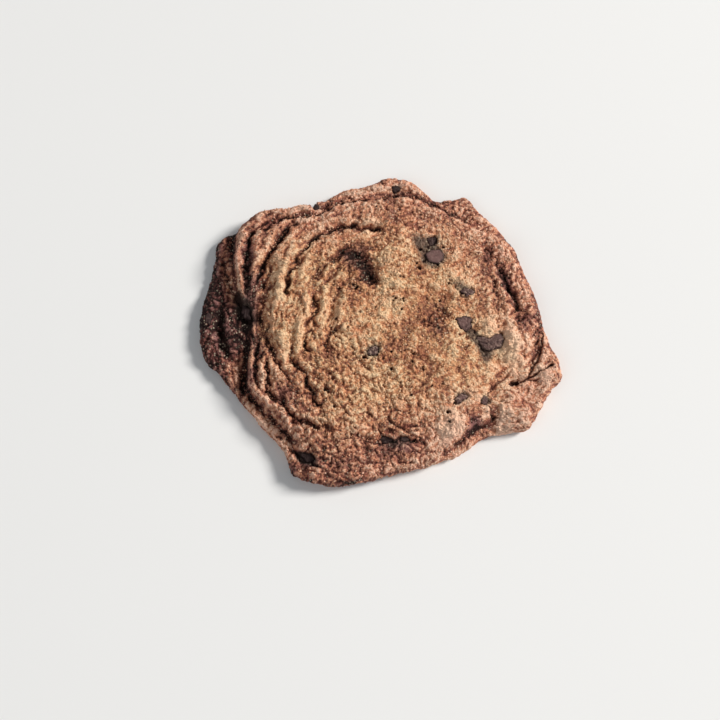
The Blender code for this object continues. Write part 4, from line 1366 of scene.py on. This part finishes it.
def crumb_points(grain, chance, hit, normal):
    """The points of one crumb: the grain made uneven, stretched, turned and set on the skin."""
    size = chance.uniform(*CRUMB_RADII) * MM * (1.4 if chance.uniform() < 0.07 else 1.0)
    stretch = chance.uniform(0.6, 1.25, 3) * size
    turn = Matrix.Rotation(chance.uniform(0, 6.28), 3, Vector(chance.normal(size=3)))
    bent = (grain * chance.uniform(0.75, 1.2, (len(grain), 1)) * stretch) @ np.array(turn).T
    return bent + np.array(hit + normal * size * 0.05)


class COOKIE_OT_stage(bpy.types.Operator):
    """Set up the floor, the light and the camera"""

    bl_idname = "cookie.stage"
    bl_label = "Stage"

    def execute(self, context):
        settings = context.scene.cookie_settings
        deselect_all()
        bpy.ops.mesh.primitive_plane_add(size=4.0)
        floor = made_object("floor")
        floor.data.materials.append(floor_material())
        area_light("window", (2.60, 0.84, 1.90), 1.0, settings.light, (1.0, 0.975, 0.94))
        area_light("bounce", (-0.9, -0.7, 1.2), 1.2, settings.light * 0.03, (0.95, 0.97, 1.0))
        world = context.scene.world or bpy.data.worlds.new("studio")
        context.scene.world = world
        world.use_nodes = True
        background = world.node_tree.nodes["Background"]
        background.inputs["Color"].default_value = (0.93, 0.96, 1.0, 1.0)
        background.inputs["Strength"].default_value = 0.26
        context.scene.view_settings.view_transform = "Standard"
        camera_looking_down(elevation=75.5, distance=0.3965, field_degrees=32.7)
        return {"FINISHED"}


def area_light(name, place, size, power, colour):
    deselect_all()
    bpy.ops.object.light_add(type="AREA", location=place)
    lamp = bpy.context.active_object
    lamp.name = name
    lamp.data.shape = "DISK"
    lamp.data.size = size
    lamp.data.energy = power
    lamp.data.color = colour
    lamp.rotation_euler = (-Vector(place)).to_track_quat("-Z", "Y").to_euler()


def camera_looking_down(elevation, distance, field_degrees):
    """The camera, aimed a little below and to the left of the cookie's middle."""
    aim = Vector((-6.2 * MM, -11.0 * MM, 4.0 * MM)) - Vector((*MIDDLE * MM, 0.0))
    tilt = math.radians(elevation)
    place = aim + distance * Vector((0, -math.cos(tilt), math.sin(tilt)))
    deselect_all()
    bpy.ops.object.camera_add(location=place)
    camera = bpy.context.active_object
    camera.name = "camera"
    camera.rotation_euler = (aim - place).to_track_quat("-Z", "Y").to_euler()
    camera.data.lens_unit = "FOV"
    camera.data.angle = math.radians(field_degrees)
    camera.data.clip_start = 0.01
    bpy.context.scene.camera = camera


class COOKIE_PT_panel(bpy.types.Panel):
    """The cookie's settings and the steps that make it"""

    bl_label = "Cookie"
    bl_idname = "COOKIE_PT_panel"
    bl_space_type = "VIEW_3D"
    bl_region_type = "UI"
    bl_category = "Cookie"

    def draw(self, context):
        settings = context.scene.cookie_settings
        for name in settings.bl_rna.properties.keys():
            if name not in ("rna_type", "name"):
                self.layout.prop(settings, name)
        for operator in OPERATORS:
            self.layout.operator(operator.bl_idname)


OPERATORS = (COOKIE_OT_dough, COOKIE_OT_chocolate, COOKIE_OT_crumbs, COOKIE_OT_stage)
CLASSES = (CookieSettings, *OPERATORS, COOKIE_PT_panel)


def register():
    for cls in CLASSES:
        bpy.utils.register_class(cls)
    bpy.types.Scene.cookie_settings = bpy.props.PointerProperty(type=CookieSettings)


def unregister():
    del bpy.types.Scene.cookie_settings
    for cls in reversed(CLASSES):
        bpy.utils.unregister_class(cls)


def main():
    register()
    bpy.ops.cookie.dough()
    bpy.ops.cookie.chocolate()
    bpy.ops.cookie.crumbs()
    bpy.ops.cookie.stage()


if __name__ == "__main__":
    main()
